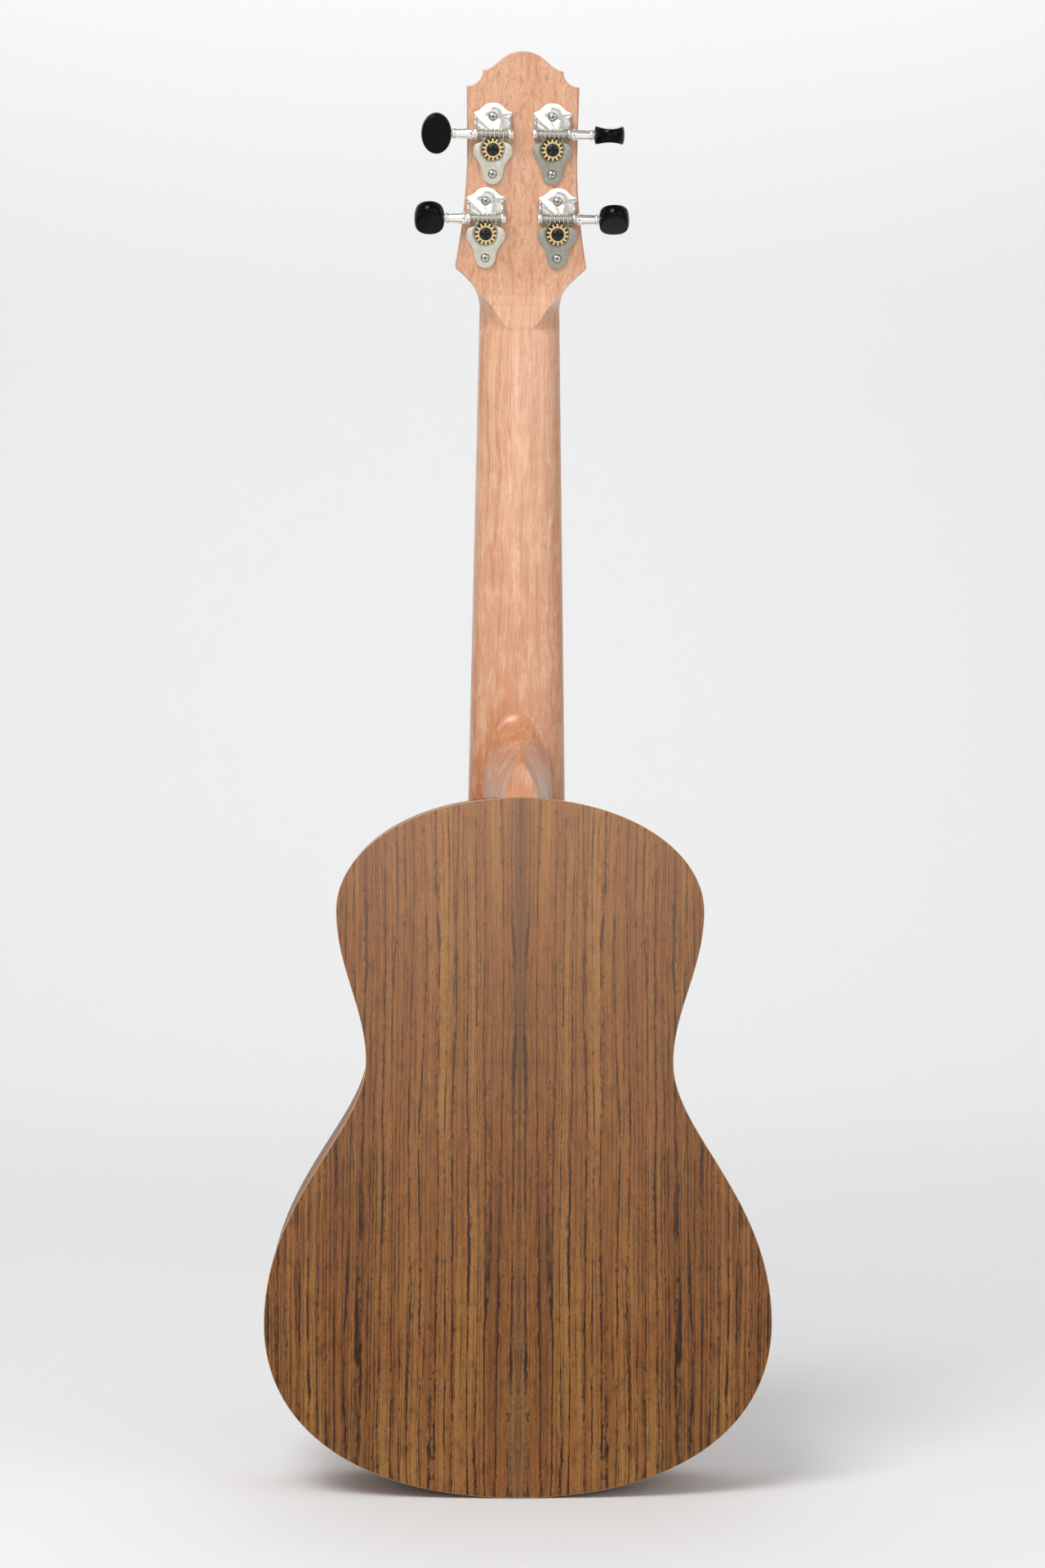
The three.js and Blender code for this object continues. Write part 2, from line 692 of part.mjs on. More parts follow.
// Where each string runs: through the tie block, over the saddle and the nut, to its post.
function stringRoute(s) {
  const base = body.frontY;
  const lift = s.r + CONTACT_GAP;
  const holeY = base + bridge.stringHoleY;
  const t = tuners[strings.indexOf(s)];
  const inside = t.x - Math.sign(t.x) * (post.waistR + s.r + 0.25);
  const end = new THREE.Vector3(inside, 4.6, t.v).applyMatrix4(headstockFrame);
  const nutTop = base + nut.height - nut.slotDepth;
  return [
    [s.saddleX, holeY, bridge.bottom - 4],
    [s.saddleX, holeY, bridge.tieTop + 0.6],
    [s.saddleX, saddle.topY + lift, saddleZ - saddle.breakBehind],
    [s.nutX, nutTop + lift, nutZ + 0.4],
    [mix(s.nutX, inside, 0.04), nutTop + lift - 0.25, nutZ + 2],
    [end.x, end.y, end.z],
  ];
}

function tube(route, r, sides) {
  const points = route.map((p) => new THREE.Vector3(...p));
  const rings = points.map((p, i) => {
    const before = points[Math.max(0, i - 1)];
    const after = points[Math.min(points.length - 1, i + 1)];
    const along = after.clone().sub(before).normalize();
    const across = new THREE.Vector3().crossVectors(Y, along).normalize();
    const up = new THREE.Vector3().crossVectors(along, across);
    return Array.from({ length: sides }, (_, j) => {
      const a = (2 * PI * j) / sides;
      return p.clone().addScaledVector(across, r * cos(a)).addScaledVector(up, r * sin(a)).toArray();
    });
  });
  return loft(rings);
}

// ---------------------------------------------------------------- tuning machine

// Everything here is in the machine's own frame: X across the headstock, Z up it, and the
// height n above its back along -Y. The post stands at the origin.

function basePlate() {
  const right = [
    [0, plate.top],
    [2.6, plate.top - 0.5],
    [4.6, plate.top - 2],
    [7.9, plate.top - 4.2],
    [8.1, plate.top - 5.2],
    [7.7, plate.top - 5.7],
    [6.9, plate.top - 6.2],
    [6.6, plate.top - 9.2],
    [ear.inner + ear.thick, ear.high],
    [ear.inner + ear.thick, ear.low],
    [6.6, 2.8],
    [7.7, 1.6],
    [8.4, -0.4],
    [8.1, -3],
    [6.2, -6],
    [4.8, -8.6],
    [4.1, -11.2],
    [2.6, -13.8],
    [0, -plate.bottom],
  ];
  const left = right.slice(1, -1).reverse().map(([x, z]) => [-x, z]);
  const flat = slab([...right, ...left].map(([x, z]) => new THREE.Vector2(x, z)).reverse(), 0, plate.thick);
  const holes = [
    rod(plate.postHoleR, -5, 5, 14),
    shifted(rod(plate.screwHoleR, -5, 5, 8), 0, 0, plate.screwUp),
    shifted(rod(plate.screwHoleR, -5, 5, 8), 0, 0, -plate.screwDown),
  ];
  const ears = [-1, 1].map((hand) => {
    const crown = arc(ear.r, 0, PI, 8, worm.v, worm.n);
    const tab = [new THREE.Vector2(worm.v + ear.r, 0.4), ...crown, new THREE.Vector2(worm.v - ear.r, 0.4)];
    const start = hand > 0 ? ear.inner : -ear.inner - ear.thick;
    const blank = prism(tab, ear.thick, Z, Y.clone().negate(), [start, 0, 0]);
    return blank.subtract(shifted(alongX(rod(ear.holeR, -20, 20, 12)), 0, -worm.n, worm.v));
  });
  return [...ears, flat].reduce((a, b) => a.add(b)).subtract(holes[0]).subtract(holes[1]).subtract(holes[2]);
}

// The worm's thread: a tapered bar wound round the shaft, right handed, with a groove at x = 0
// on the side that faces the gear.
function wormThread() {
  const steps = worm.turns * worm.stepsPerTurn;
  const buried = worm.rootR - 0.3;
  const rings = Array.from({ length: steps + 1 }, (_, i) => {
    const turn = i / worm.stepsPerTurn - worm.turns / 2;
    const angle = 2 * PI * turn + PI / 2;
    const corners = [
      [buried, -worm.rootHalf],
      [worm.tipR, -worm.tipHalf],
      [worm.tipR, worm.tipHalf],
      [buried, worm.rootHalf],
    ];
    return corners.map(([r, dx]) => [turn * wormPitch + dx, r * cos(angle), r * sin(angle)]);
  });
  return loft(rings);
}

function wormShaft(hand) {
  const c = collar;
  const end = ear.inner + ear.thick;
  const profile = [
    [0, -end - 1],
    [1.6, -end - 1],
    [2.3, -end - 0.6],
    [2.3, -end - 0.15],
    [worm.journalR, -end - 0.15],
    [worm.journalR, -ear.inner + 0.3],
    [worm.rootR, -ear.inner + 0.6],
    [worm.rootR, ear.inner - 0.6],
    [worm.journalR, ear.inner - 0.3],
    [worm.journalR, c.start],
    [c.taperR, c.start],
    [c.taperR, c.taperStart],
    [c.taperR - 0.35, c.taperStart + 0.25],
    [c.taperEndR, c.taperEnd],
    [c.beadR, c.taperEnd + 0.4],
    [c.beadR, button.inner - 0.4],
    [button.stubR, button.inner - 0.25],
    [button.stubR, button.inner + button.stub],
    [0, button.inner + button.stub],
  ];
  const shaft = turned(profile, 12);
  const facing = new THREE.Matrix4().makeRotationZ(hand > 0 ? -PI / 2 : PI / 2);
  return moved(shaft, facing).add(wormThread());
}

// The button: an oval slab with both faces dished along the shaft, rounded at its rim.
function tuningButton(hand) {
  const b = button;
  const halfLength = b.length / 2;
  const oval = new THREE.Shape();
  oval.absellipse(0, 0, halfLength - b.round, b.half - b.round, 0, 2 * PI);
  const geometry = new THREE.ExtrudeGeometry(oval, {
    depth: b.thick - 2 * b.round,
    bevelThickness: b.round,
    bevelSize: b.round,
    bevelSegments: 2,
    curveSegments: 10,
  });
  geometry.translate(0, 0, -b.thick / 2 + b.round);
  const dishR = (halfLength ** 2 + b.dish ** 2) / (2 * b.dish);
  const dish = (out) => shifted(rod(dishR, -20, 20, 60), 0, 0, out * (b.thick / 2 - b.dish + dishR));
  const bore = alongX(rod(b.stubR + 0.08, -halfLength - 1, -halfLength + b.stub + 0.3, 10));
  const blank = solidOf(geometry).subtract(dish(1)).subtract(dish(-1)).subtract(bore);
  return hand > 0 ? blank : moved(blank, new THREE.Matrix4().makeRotationY(PI));
}

function wormGear() {
  const twist = wormPitch / (2 * PI * worm.pitchR) / gear.pitchR;
  const ring = (n) => {
    const y = -n;
    const lean = twist * (y + worm.n);
    return Array.from({ length: teeth }, (_, i) => {
      const centre = (2 * PI * i) / teeth + lean;
      return [
        [gear.rootR, -gear.rootHalf / gear.rootR],
        [gear.tipR, -gear.tipHalf / gear.tipR],
        [gear.tipR, gear.tipHalf / gear.tipR],
        [gear.rootR, gear.rootHalf / gear.rootR],
      ].map(([r, a]) => [r * sin(centre + a), y, r * cos(centre + a)]);
    }).flat();
  };
  const half = post.tenon / 2 + 0.08;
  return loft([ring(gear.low), ring(gear.high)]).subtract(block([-half, half], [-10, 0], [-half, half]));
}

function stringPost() {
  const front = headstock.thick + post.front;
  const shoulder = -gear.low + CONTACT_GAP;
  const round = turned(
    [
      [0, shoulder],
      [post.r, shoulder],
      [post.r, headstock.thick + 2],
      [post.waistR, headstock.thick + 3],
      [post.waistR, headstock.thick + 8.6],
      [post.r, headstock.thick + 9.6],
      [post.r, front - 0.8],
      [post.r - 0.8, front],
      [0, front],
    ],
    16,
  );
  const half = post.tenon / 2;
  const tenon = block([-half, half], [-gear.high + 0.1, shoulder + 0.5], [-half, half]);
  const through = alongX(rod(post.stringHoleR, -2 * post.r, 2 * post.r, 8));
  const stringHole = shifted(through, 0, headstock.thick + post.stringHole, 0);
  const tapped = rod(capScrew.shankR + 0.1, -gear.high - 1, -gear.high + capScrew.length + 0.6, 12);
  return round.add(tenon).subtract(stringHole).subtract(tapped);
}

// A round-headed screw that points along +Y, its head's seat at y = seat, with a cross recess.
function screw({ headR, head, shankR, length, slot, slotDepth }, seat, segments) {
  const blank = turned(
    [
      [0, seat - head],
      [headR * 0.62, seat - head * 0.96],
      [headR * 0.92, seat - head * 0.62],
      [headR, seat - head * 0.2],
      [headR, seat],
      [shankR, seat],
      [shankR, seat + length - shankR],
      [0, seat + length],
    ],
    segments,
  );
  const [arm, top] = [headR * 0.6, seat - head];
  const cut = (a, b) => block([-a, a], [top - 1, top + slotDepth], [-b, b]);
  return blank.subtract(cut(arm, slot / 2)).subtract(cut(slot / 2, arm));
}

function postBushing() {
  const { flangeR, flange, sleeveR, length, boreR } = bushing;
  const seat = headstock.thick + CONTACT_GAP;
  const blank = turned(
    [
      [0, seat - length],
      [sleeveR, seat - length],
      [sleeveR, seat],
      [flangeR, seat],
      [flangeR - 0.3, seat + flange * 0.7],
      [flangeR - 1.1, seat + flange],
      [0, seat + flange],
    ],
    16,
  );
  return blank.subtract(rod(boreR, -30, 30, 14));
}

// One machine as a group: the parts that turn with the button are placed on the worm's axis.
function tuningMachine({ name, x, v, turn }) {
  const hand = Math.sign(x);
  const group = new THREE.Group();
  group.position.set(x, -headstock.thick - CONTACT_GAP, v);
  const screwSeat = -plate.thick - CONTACT_GAP;
  const drive = new THREE.Group();
  drive.position.set(0, -worm.n, worm.v);
  const knob = piece(`tuner_${name}_button`, tuningButton(hand), material.blackPlastic);
  knob.position.x = hand * (button.inner + button.length / 2);
  // The button is drawn with its faces along Z; a quarter turn lays them against the headstock's back.
  knob.rotation.x = PI / 2 + (turn * PI) / 180;
  drive.add(piece(`tuner_${name}_worm_shaft`, wormShaft(hand), material.nickel), knob);
  const upper = piece(`tuner_${name}_screw_upper`, screw(woodScrew, screwSeat, 8), material.nickel);
  upper.position.z = plate.screwUp;
  const lower = piece(`tuner_${name}_screw_lower`, screw(woodScrew, screwSeat, 8), material.nickel);
  lower.position.z = -plate.screwDown;
  group.add(
    piece(`tuner_${name}_baseplate`, basePlate(), material.nickel),
    drive,
    piece(`tuner_${name}_gear`, wormGear(), material.brass),
    piece(`tuner_${name}_post`, stringPost(), material.nickel),
    piece(`tuner_${name}_gear_screw`, screw(capScrew, -gear.high - CONTACT_GAP, 12), material.blackScrew),
    piece(`tuner_${name}_bushing`, postBushing(), material.nickel),
    upper,
    lower,
  );
  return group;
}

// ---------------------------------------------------------------- assembly

const ukulele = new THREE.Group();
const hands = { bass: 1, treble: -1 };

ukulele.add(
  piece("back_plate", backPlate(), material.striped),
  piece("soundboard", soundboard(), material.striped),
  piece("neck_block", neckBlock(), material.lightWood),
  piece("tail_block", tailBlock(), material.lightWood),
  piece("top_lining", liningRing(topSheet), material.lightWood),
  piece("back_lining", liningRing(aboveBack(innerBack, innerBack + lining.height)), material.lightWood),
  piece("bridge_plate", bridgePlate(), material.lightWood),
  piece("rosette", rosette(), material.inlay),
  piece("bridge", bridgeBody(), material.rosewood),
  piece("saddle", saddleBone(), material.bone),
  piece("neck", neckPiece(), material.mahogany),
  piece("fretboard", frettedBoard(), material.rosewood),
  piece("nut", nutBone(), material.bone),
);
for (const [name, z] of Object.entries(topBraceZ)) {
  ukulele.add(piece(`top_brace_${name}`, topBrace(z), material.spruce));
}
for (const [name, z] of Object.entries(backBraceZ)) {
  ukulele.add(piece(`back_brace_${name}`, backBrace(z), material.lightWood));
}
for (const [name, hand] of Object.entries(hands)) {
  ukulele.add(piece(`side_${name}`, side(hand), material.striped));
}
for (const s of strings) {
  ukulele.add(piece(`string_${s.name}`, tube(stringRoute(s), s.r, 6), material.nylon));
}

const head = new THREE.Group();
head.position.set(0, body.frontY, headstock.startZ);
head.rotation.x = headstock.tilt;
for (const tuner of tuners) head.add(tuningMachine(tuner));
ukulele.add(head);

export default ukulele;
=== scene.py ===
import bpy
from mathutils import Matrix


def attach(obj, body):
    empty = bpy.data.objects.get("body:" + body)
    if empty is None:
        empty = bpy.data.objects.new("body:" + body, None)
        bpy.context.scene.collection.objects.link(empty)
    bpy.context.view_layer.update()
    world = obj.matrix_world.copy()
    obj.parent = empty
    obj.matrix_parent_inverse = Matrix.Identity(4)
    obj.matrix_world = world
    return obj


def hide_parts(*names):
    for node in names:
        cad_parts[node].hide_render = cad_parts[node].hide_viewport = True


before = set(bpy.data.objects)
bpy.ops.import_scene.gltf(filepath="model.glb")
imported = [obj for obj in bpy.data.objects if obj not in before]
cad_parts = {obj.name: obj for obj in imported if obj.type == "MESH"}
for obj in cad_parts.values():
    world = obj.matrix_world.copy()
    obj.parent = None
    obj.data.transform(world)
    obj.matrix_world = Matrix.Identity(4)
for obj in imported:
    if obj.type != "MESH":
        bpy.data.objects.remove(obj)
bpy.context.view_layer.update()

from math import copysign, cos, dist, hypot, pi, radians, sin, sqrt
import bmesh
import bpy
from mathutils import Matrix, Vector

# ---- the CAD's driving sizes, in millimetres and radians

ROOT = "ukulele"
MM = 0.001
GAP = 0.06
LENGTH = 290.0
FRONT_Y = 34.0
TAIL_Y = -34.0
SLOPE = 8.0 / LENGTH
PLATE = 2.0
RIB = 1.9
SCALE = 381.0
NUT_Z = LENGTH + SCALE * (1 - 2 ** (-14 / 12))
SADDLE_Z = NUT_Z - SCALE
NUT_THICK = 5.0
HEAD_Z = NUT_Z + NUT_THICK + 0.2
TILT = radians(13)
HEAD_THICK = 12.5
NUT_HALF = 17.25
JOIN_HALF = 20.9
# Where the neck's round back runs out into the headstock's flat one.
RUN_ROUND, RUN_START, RUN_SQUARE = 488.5, 494.5, 506.0
RUN_HALF, RUN_SLOPE, SQUARE_OVER = 8.0, 0.66, 10.0
FLANK = radians(50)
# The hole's height and radius, then the rosette's inner and outer radius.
SOUNDHOLE = (193.0, 29.0, 31.5, 36.5)
# Each string's radius, and its x at the nut and at the saddle.
STRINGS = {
    "g": (0.33, 13.0, 19.5),
    "c": (0.46, 4.35, 6.5),
    "e": (0.41, -4.35, -6.5),
    "a": (0.31, -13.0, -19.5),
}
# Each machine's x, its height up the headstock's face, and its button's turn in degrees.
TUNERS = {
    "g": (15.4, 28.8, 55.0),
    "c": (12.7, 64.3, 90.0),
    "e": (-12.7, 64.3, 8.0),
    "a": (-15.4, 28.8, 47.0),
}
TEETH = 14
WORM_PITCH = 1.885
GEAR_R = WORM_PITCH * TEETH / (2 * pi)
WORM_R = 2.25
WORM_V = GEAR_R + WORM_R
WORM_N = 4.1
GEAR_LOW, GEAR_HIGH = 2.8, 5.4
BASE_THICK = 1.1
SCREW_UP, SCREW_DOWN = 13.6, -10.5
SCREW_HEAD = 0.9
EAR_AT = 6.7
STUB_FROM, BUTTON_LONG = 17.5, 13.1
POST_WAIST, WIND_FROM = 2.6, 4.6
FRETS = 18
BOARD_THICK = 5.0
OUTLINE_STEPS = 30


def back_y(z):
    return TAIL_Y + SLOPE * z


def fret_z(n):
    return NUT_Z - SCALE * (1 - 2 ** (-n / 12))


def mix(a, b, t):
    return a + (b - a) * t


def ease(t):
    t = min(1.0, max(0.0, t))
    return t * t * (3 - 2 * t)


def bezier(p0, p1, p2, p3, steps):
    """Points of a cubic curve with their tangents."""
    made = []
    for i in range(steps + 1):
        t = i / steps
        s = 1 - t
        axes = list(zip(p0, p1, p2, p3))
        point = [s**3 * a + 3 * s * s * t * b + 3 * s * t * t * c + t**3 * d for a, b, c, d in axes]
        slope = [3 * s * s * (b - a) + 6 * s * t * (c - b) + 3 * t * t * (d - c) for a, b, c, d in axes]
        size = hypot(*slope)
        made.append((point, [v / size for v in slope]))
    return made


def half_outline(inset=0.0):
    """Right half of the body's outline from the tail to the neck, as (x, z)."""
    curves = [
        ((0, 0), (65, 0), (105.5, 28), (105.5, 72)),
        ((105.5, 72), (105.5, 124), (64, 151), (64, 180)),
        ((64, 180), (64, 202), (76.7, 219), (76.7, 243)),
        ((76.7, 243), (76.7, 268), (45, 290), (0, 290)),
    ]
    made = []
    for n, curve in enumerate(curves):
        points = bezier(*curve, OUTLINE_STEPS)
        made += points if n == 3 else points[:-1]
    return [(max(0.0, p[0] - t[1] * inset), p[1] + t[0] * inset) for p, t in made]


def mirrored(right):
    return right + [(-x, z) for x, z in reversed(right[1:-1])]


def end_z(x):
    """Height of the body's top edge at x, where the neck meets it."""
    shoulder = half_outline()[3 * OUTLINE_STEPS:]
    return min(shoulder, key=lambda p: abs(p[0] - abs(x)))[1]


# ---- camera, floor and light

OBJECT_CENTRE = Vector((0.0, -0.03, 0.2949))
AIM_SHIFT = Vector((0.0004, 0, 0.0008))
DISTANCE = 1.4
LENS = 77.4
YAW, ROLL = radians(-1.9), radians(0.34)


def new_object(name, data):
    obj = bpy.data.objects.new(name, data)
    bpy.context.scene.collection.objects.link(obj)
    return obj


def make_camera():
    data = bpy.data.cameras.new("camera")
    data.lens = LENS
    data.sensor_width = 36
    data.clip_start = 0.05
    cam = new_object("camera", data)
    away = Vector((sin(YAW), -cos(YAW), 0.0))
    cam.location = OBJECT_CENTRE + AIM_SHIFT + away * DISTANCE
    look = (-away).to_track_quat("-Z", "Y").to_matrix().to_4x4()
    cam.matrix_world = Matrix.Translation(cam.location) @ look @ Matrix.Rotation(ROLL, 4, "Z")
    bpy.context.scene.camera = cam


def area_light(name, at, target, size, power):
    data = bpy.data.lights.new(name, "AREA")
    data.shape = "RECTANGLE"
    data.size, data.size_y = size
    data.energy = power
    light = new_object(name, data)
    light.location = at
    light.rotation_mode = "QUATERNION"
    light.rotation_quaternion = (Vector(target) - Vector(at)).to_track_quat("-Z", "Y")
    light.visible_camera = False


def make_studio():
    world = bpy.data.worlds.new("studio")
    world.use_nodes = True
    background = world.node_tree.nodes["Background"]
    background.inputs[0].default_value = (1.0, 1.0, 1.0, 1)
    background.inputs[1].default_value = 0.42
    bpy.context.scene.world = world
    area_light("key", (-0.55, -1.0, 1.45), (0, 0, 0.5), (0.75, 0.75), 19)
    area_light("fill", (1.3, -1.2, 0.9), (0, 0, 0.4), (1.2, 1.2), 6)
    area_light("low_card", (0.0, -2.1, 0.65), (0, 0, 0.25), (1.6, 0.7), 6)
    area_light("wall_wash", (0.0, 1.8, 2.2), (0, 2.6, 0.5), (3.6, 0.5), 24)
    # One sheet runs along the floor and up behind the object.
    bend_at, bend_r, steps = 1.7, 0.9, 12
    profile = [(-4.0, 0.0), (bend_at, 0.0)]
    for i in range(1, steps + 1):
        a = pi / 2 * i / steps
        profile.append((bend_at + bend_r * sin(a), bend_r - bend_r * cos(a)))
    profile.append((bend_at + bend_r, 4.0))
    verts = [(x, y, z) for y, z in profile for x in (-5.0, 5.0)]
    faces = [(2 * i, 2 * i + 1, 2 * i + 3, 2 * i + 2) for i in range(len(profile) - 1)]
    mesh = bpy.data.meshes.new("backdrop")
    mesh.from_pydata(verts, [], faces)
    mesh.shade_smooth()
    sheet = new_object("backdrop", mesh)
    sheet.location.z = -0.0003
    look = bpy.data.materials.new("backdrop_paper")
    look.use_nodes = True
    shader = look.node_tree.nodes["Principled BSDF"]
    shader.inputs["Base Color"].default_value = (0.83, 0.83, 0.835, 1)
    shader.inputs["Roughness"].default_value = 0.9
    mesh.materials.append(look)


make_camera()
make_studio()
bpy.context.scene.view_settings.view_transform = "Standard"

# ---- material building


class Nodes:
    """A material's node tree, built with short calls. Positions are object coordinates in millimetres.

    colour is the surface's colour so far: paint lays another one over it.
    """

    def __init__(self, name):
        self.material = bpy.data.materials.new(name)
        self.material.use_nodes = True
        self.tree = self.material.node_tree
        self.colour = None
        coords = self.new("TexCoord", {})
        self.here = self.vector("SCALE", coords.outputs["Object"], "Scale", 1 / MM)

    def new(self, kind, sockets, **settings):
        node = self.tree.nodes.new("ShaderNode" + kind)
        for key, value in settings.items():
            setattr(node, key, value)
        for key, value in sockets.items():
            self.feed(node.inputs[key], value)
        return node

    def feed(self, socket, value):
        if isinstance(value, bpy.types.NodeSocket):
            self.tree.links.new(value, socket)
        elif isinstance(value, tuple) and socket.type == "RGBA":
            socket.default_value = (*value, 1)
        else:
            socket.default_value = value

    def vector(self, operation, a, socket, value):
        return self.new("VectorMath", {0: a, socket: value}, operation=operation).outputs["Vector"]

    def math(self, operation, a, b=0.0, c=0.0):
        return self.new("Math", {0: a, 1: b, 2: c}, operation=operation).outputs[0]

    def plus(self, a, b):
        return self.math("ADD", a, b)

    def minus(self, a, b):
        return self.math("SUBTRACT", a, b)

    def times(self, a, b):
        return self.math("MULTIPLY", a, b)

    def larger(self, a, b):
        return self.math("MAXIMUM", a, b)

    def radius(self, a, b):
        return self.math("SQRT", self.plus(self.times(a, a), self.times(b, b)))

    def xyz(self):
        return self.new("SeparateXYZ", {0: self.here}).outputs

    def combine(self, x, y, z):
        return self.new("CombineXYZ", {0: x, 1: y, 2: z}).outputs[0]

    def noise(self, vector, scale=1.0, detail=3.0, rough=0.55, distortion=0.0):
        sockets = {"Vector": vector, "Scale": scale, "Detail": detail, "Roughness": rough}
        return self.new("TexNoise", {**sockets, "Distortion": distortion}).outputs["Fac"]

    def grain(self, per_mm, detail=3.0, rough=0.55, distortion=0.0):
        """Noise with its own number of features per millimetre along X, Y and Z."""
        return self.noise(self.vector("MULTIPLY", self.here, 1, per_mm), 1.0, detail, rough, distortion)

    def ramp(self, value, stops):
        node = self.new("ValToRGB", {0: value})
        elements = node.color_ramp.elements
        while len(elements) < len(stops):
            elements.new(0.5)
        for element, (at, colour) in zip(elements, stops):
            element.position = at
            element.color = (*colour, 1) if isinstance(colour, tuple) else (colour, colour, colour, 1)
        return node.outputs["Color"]

    def blend(self, factor, a, b, mode="MIX"):
        sockets = {"Factor": factor, "A": a, "B": b}
        return self.new("Mix", sockets, data_type="RGBA", blend_type=mode).outputs["Result"]

    def paint(self, factor, colour, mode="MIX"):
        self.colour = self.blend(factor, self.colour, colour, mode)

    def span(self, value, low, high, to_low=0.0, to_high=1.0):
        return self.new("MapRange", dict(enumerate((value, low, high, to_low, to_high)))).outputs[0]

    def bump(self, height, distance, strength=1.0, after=None):
        sockets = {"Strength": strength, "Distance": distance, "Height": height}
        if after is not None:
            sockets["Normal"] = after
        return self.new("Bump", sockets).outputs[0]

    def finish(self, roughness, normal=None, **sockets):
        shader = self.tree.nodes["Principled BSDF"]
        self.feed(shader.inputs["Base Color"], self.colour)
        self.feed(shader.inputs["Roughness"], roughness)
        if normal is not None:
            self.feed(shader.inputs["Normal"], normal)
        for name, value in sockets.items():
            shader.inputs[name.replace("_", " ")].default_value = value
        return self.material


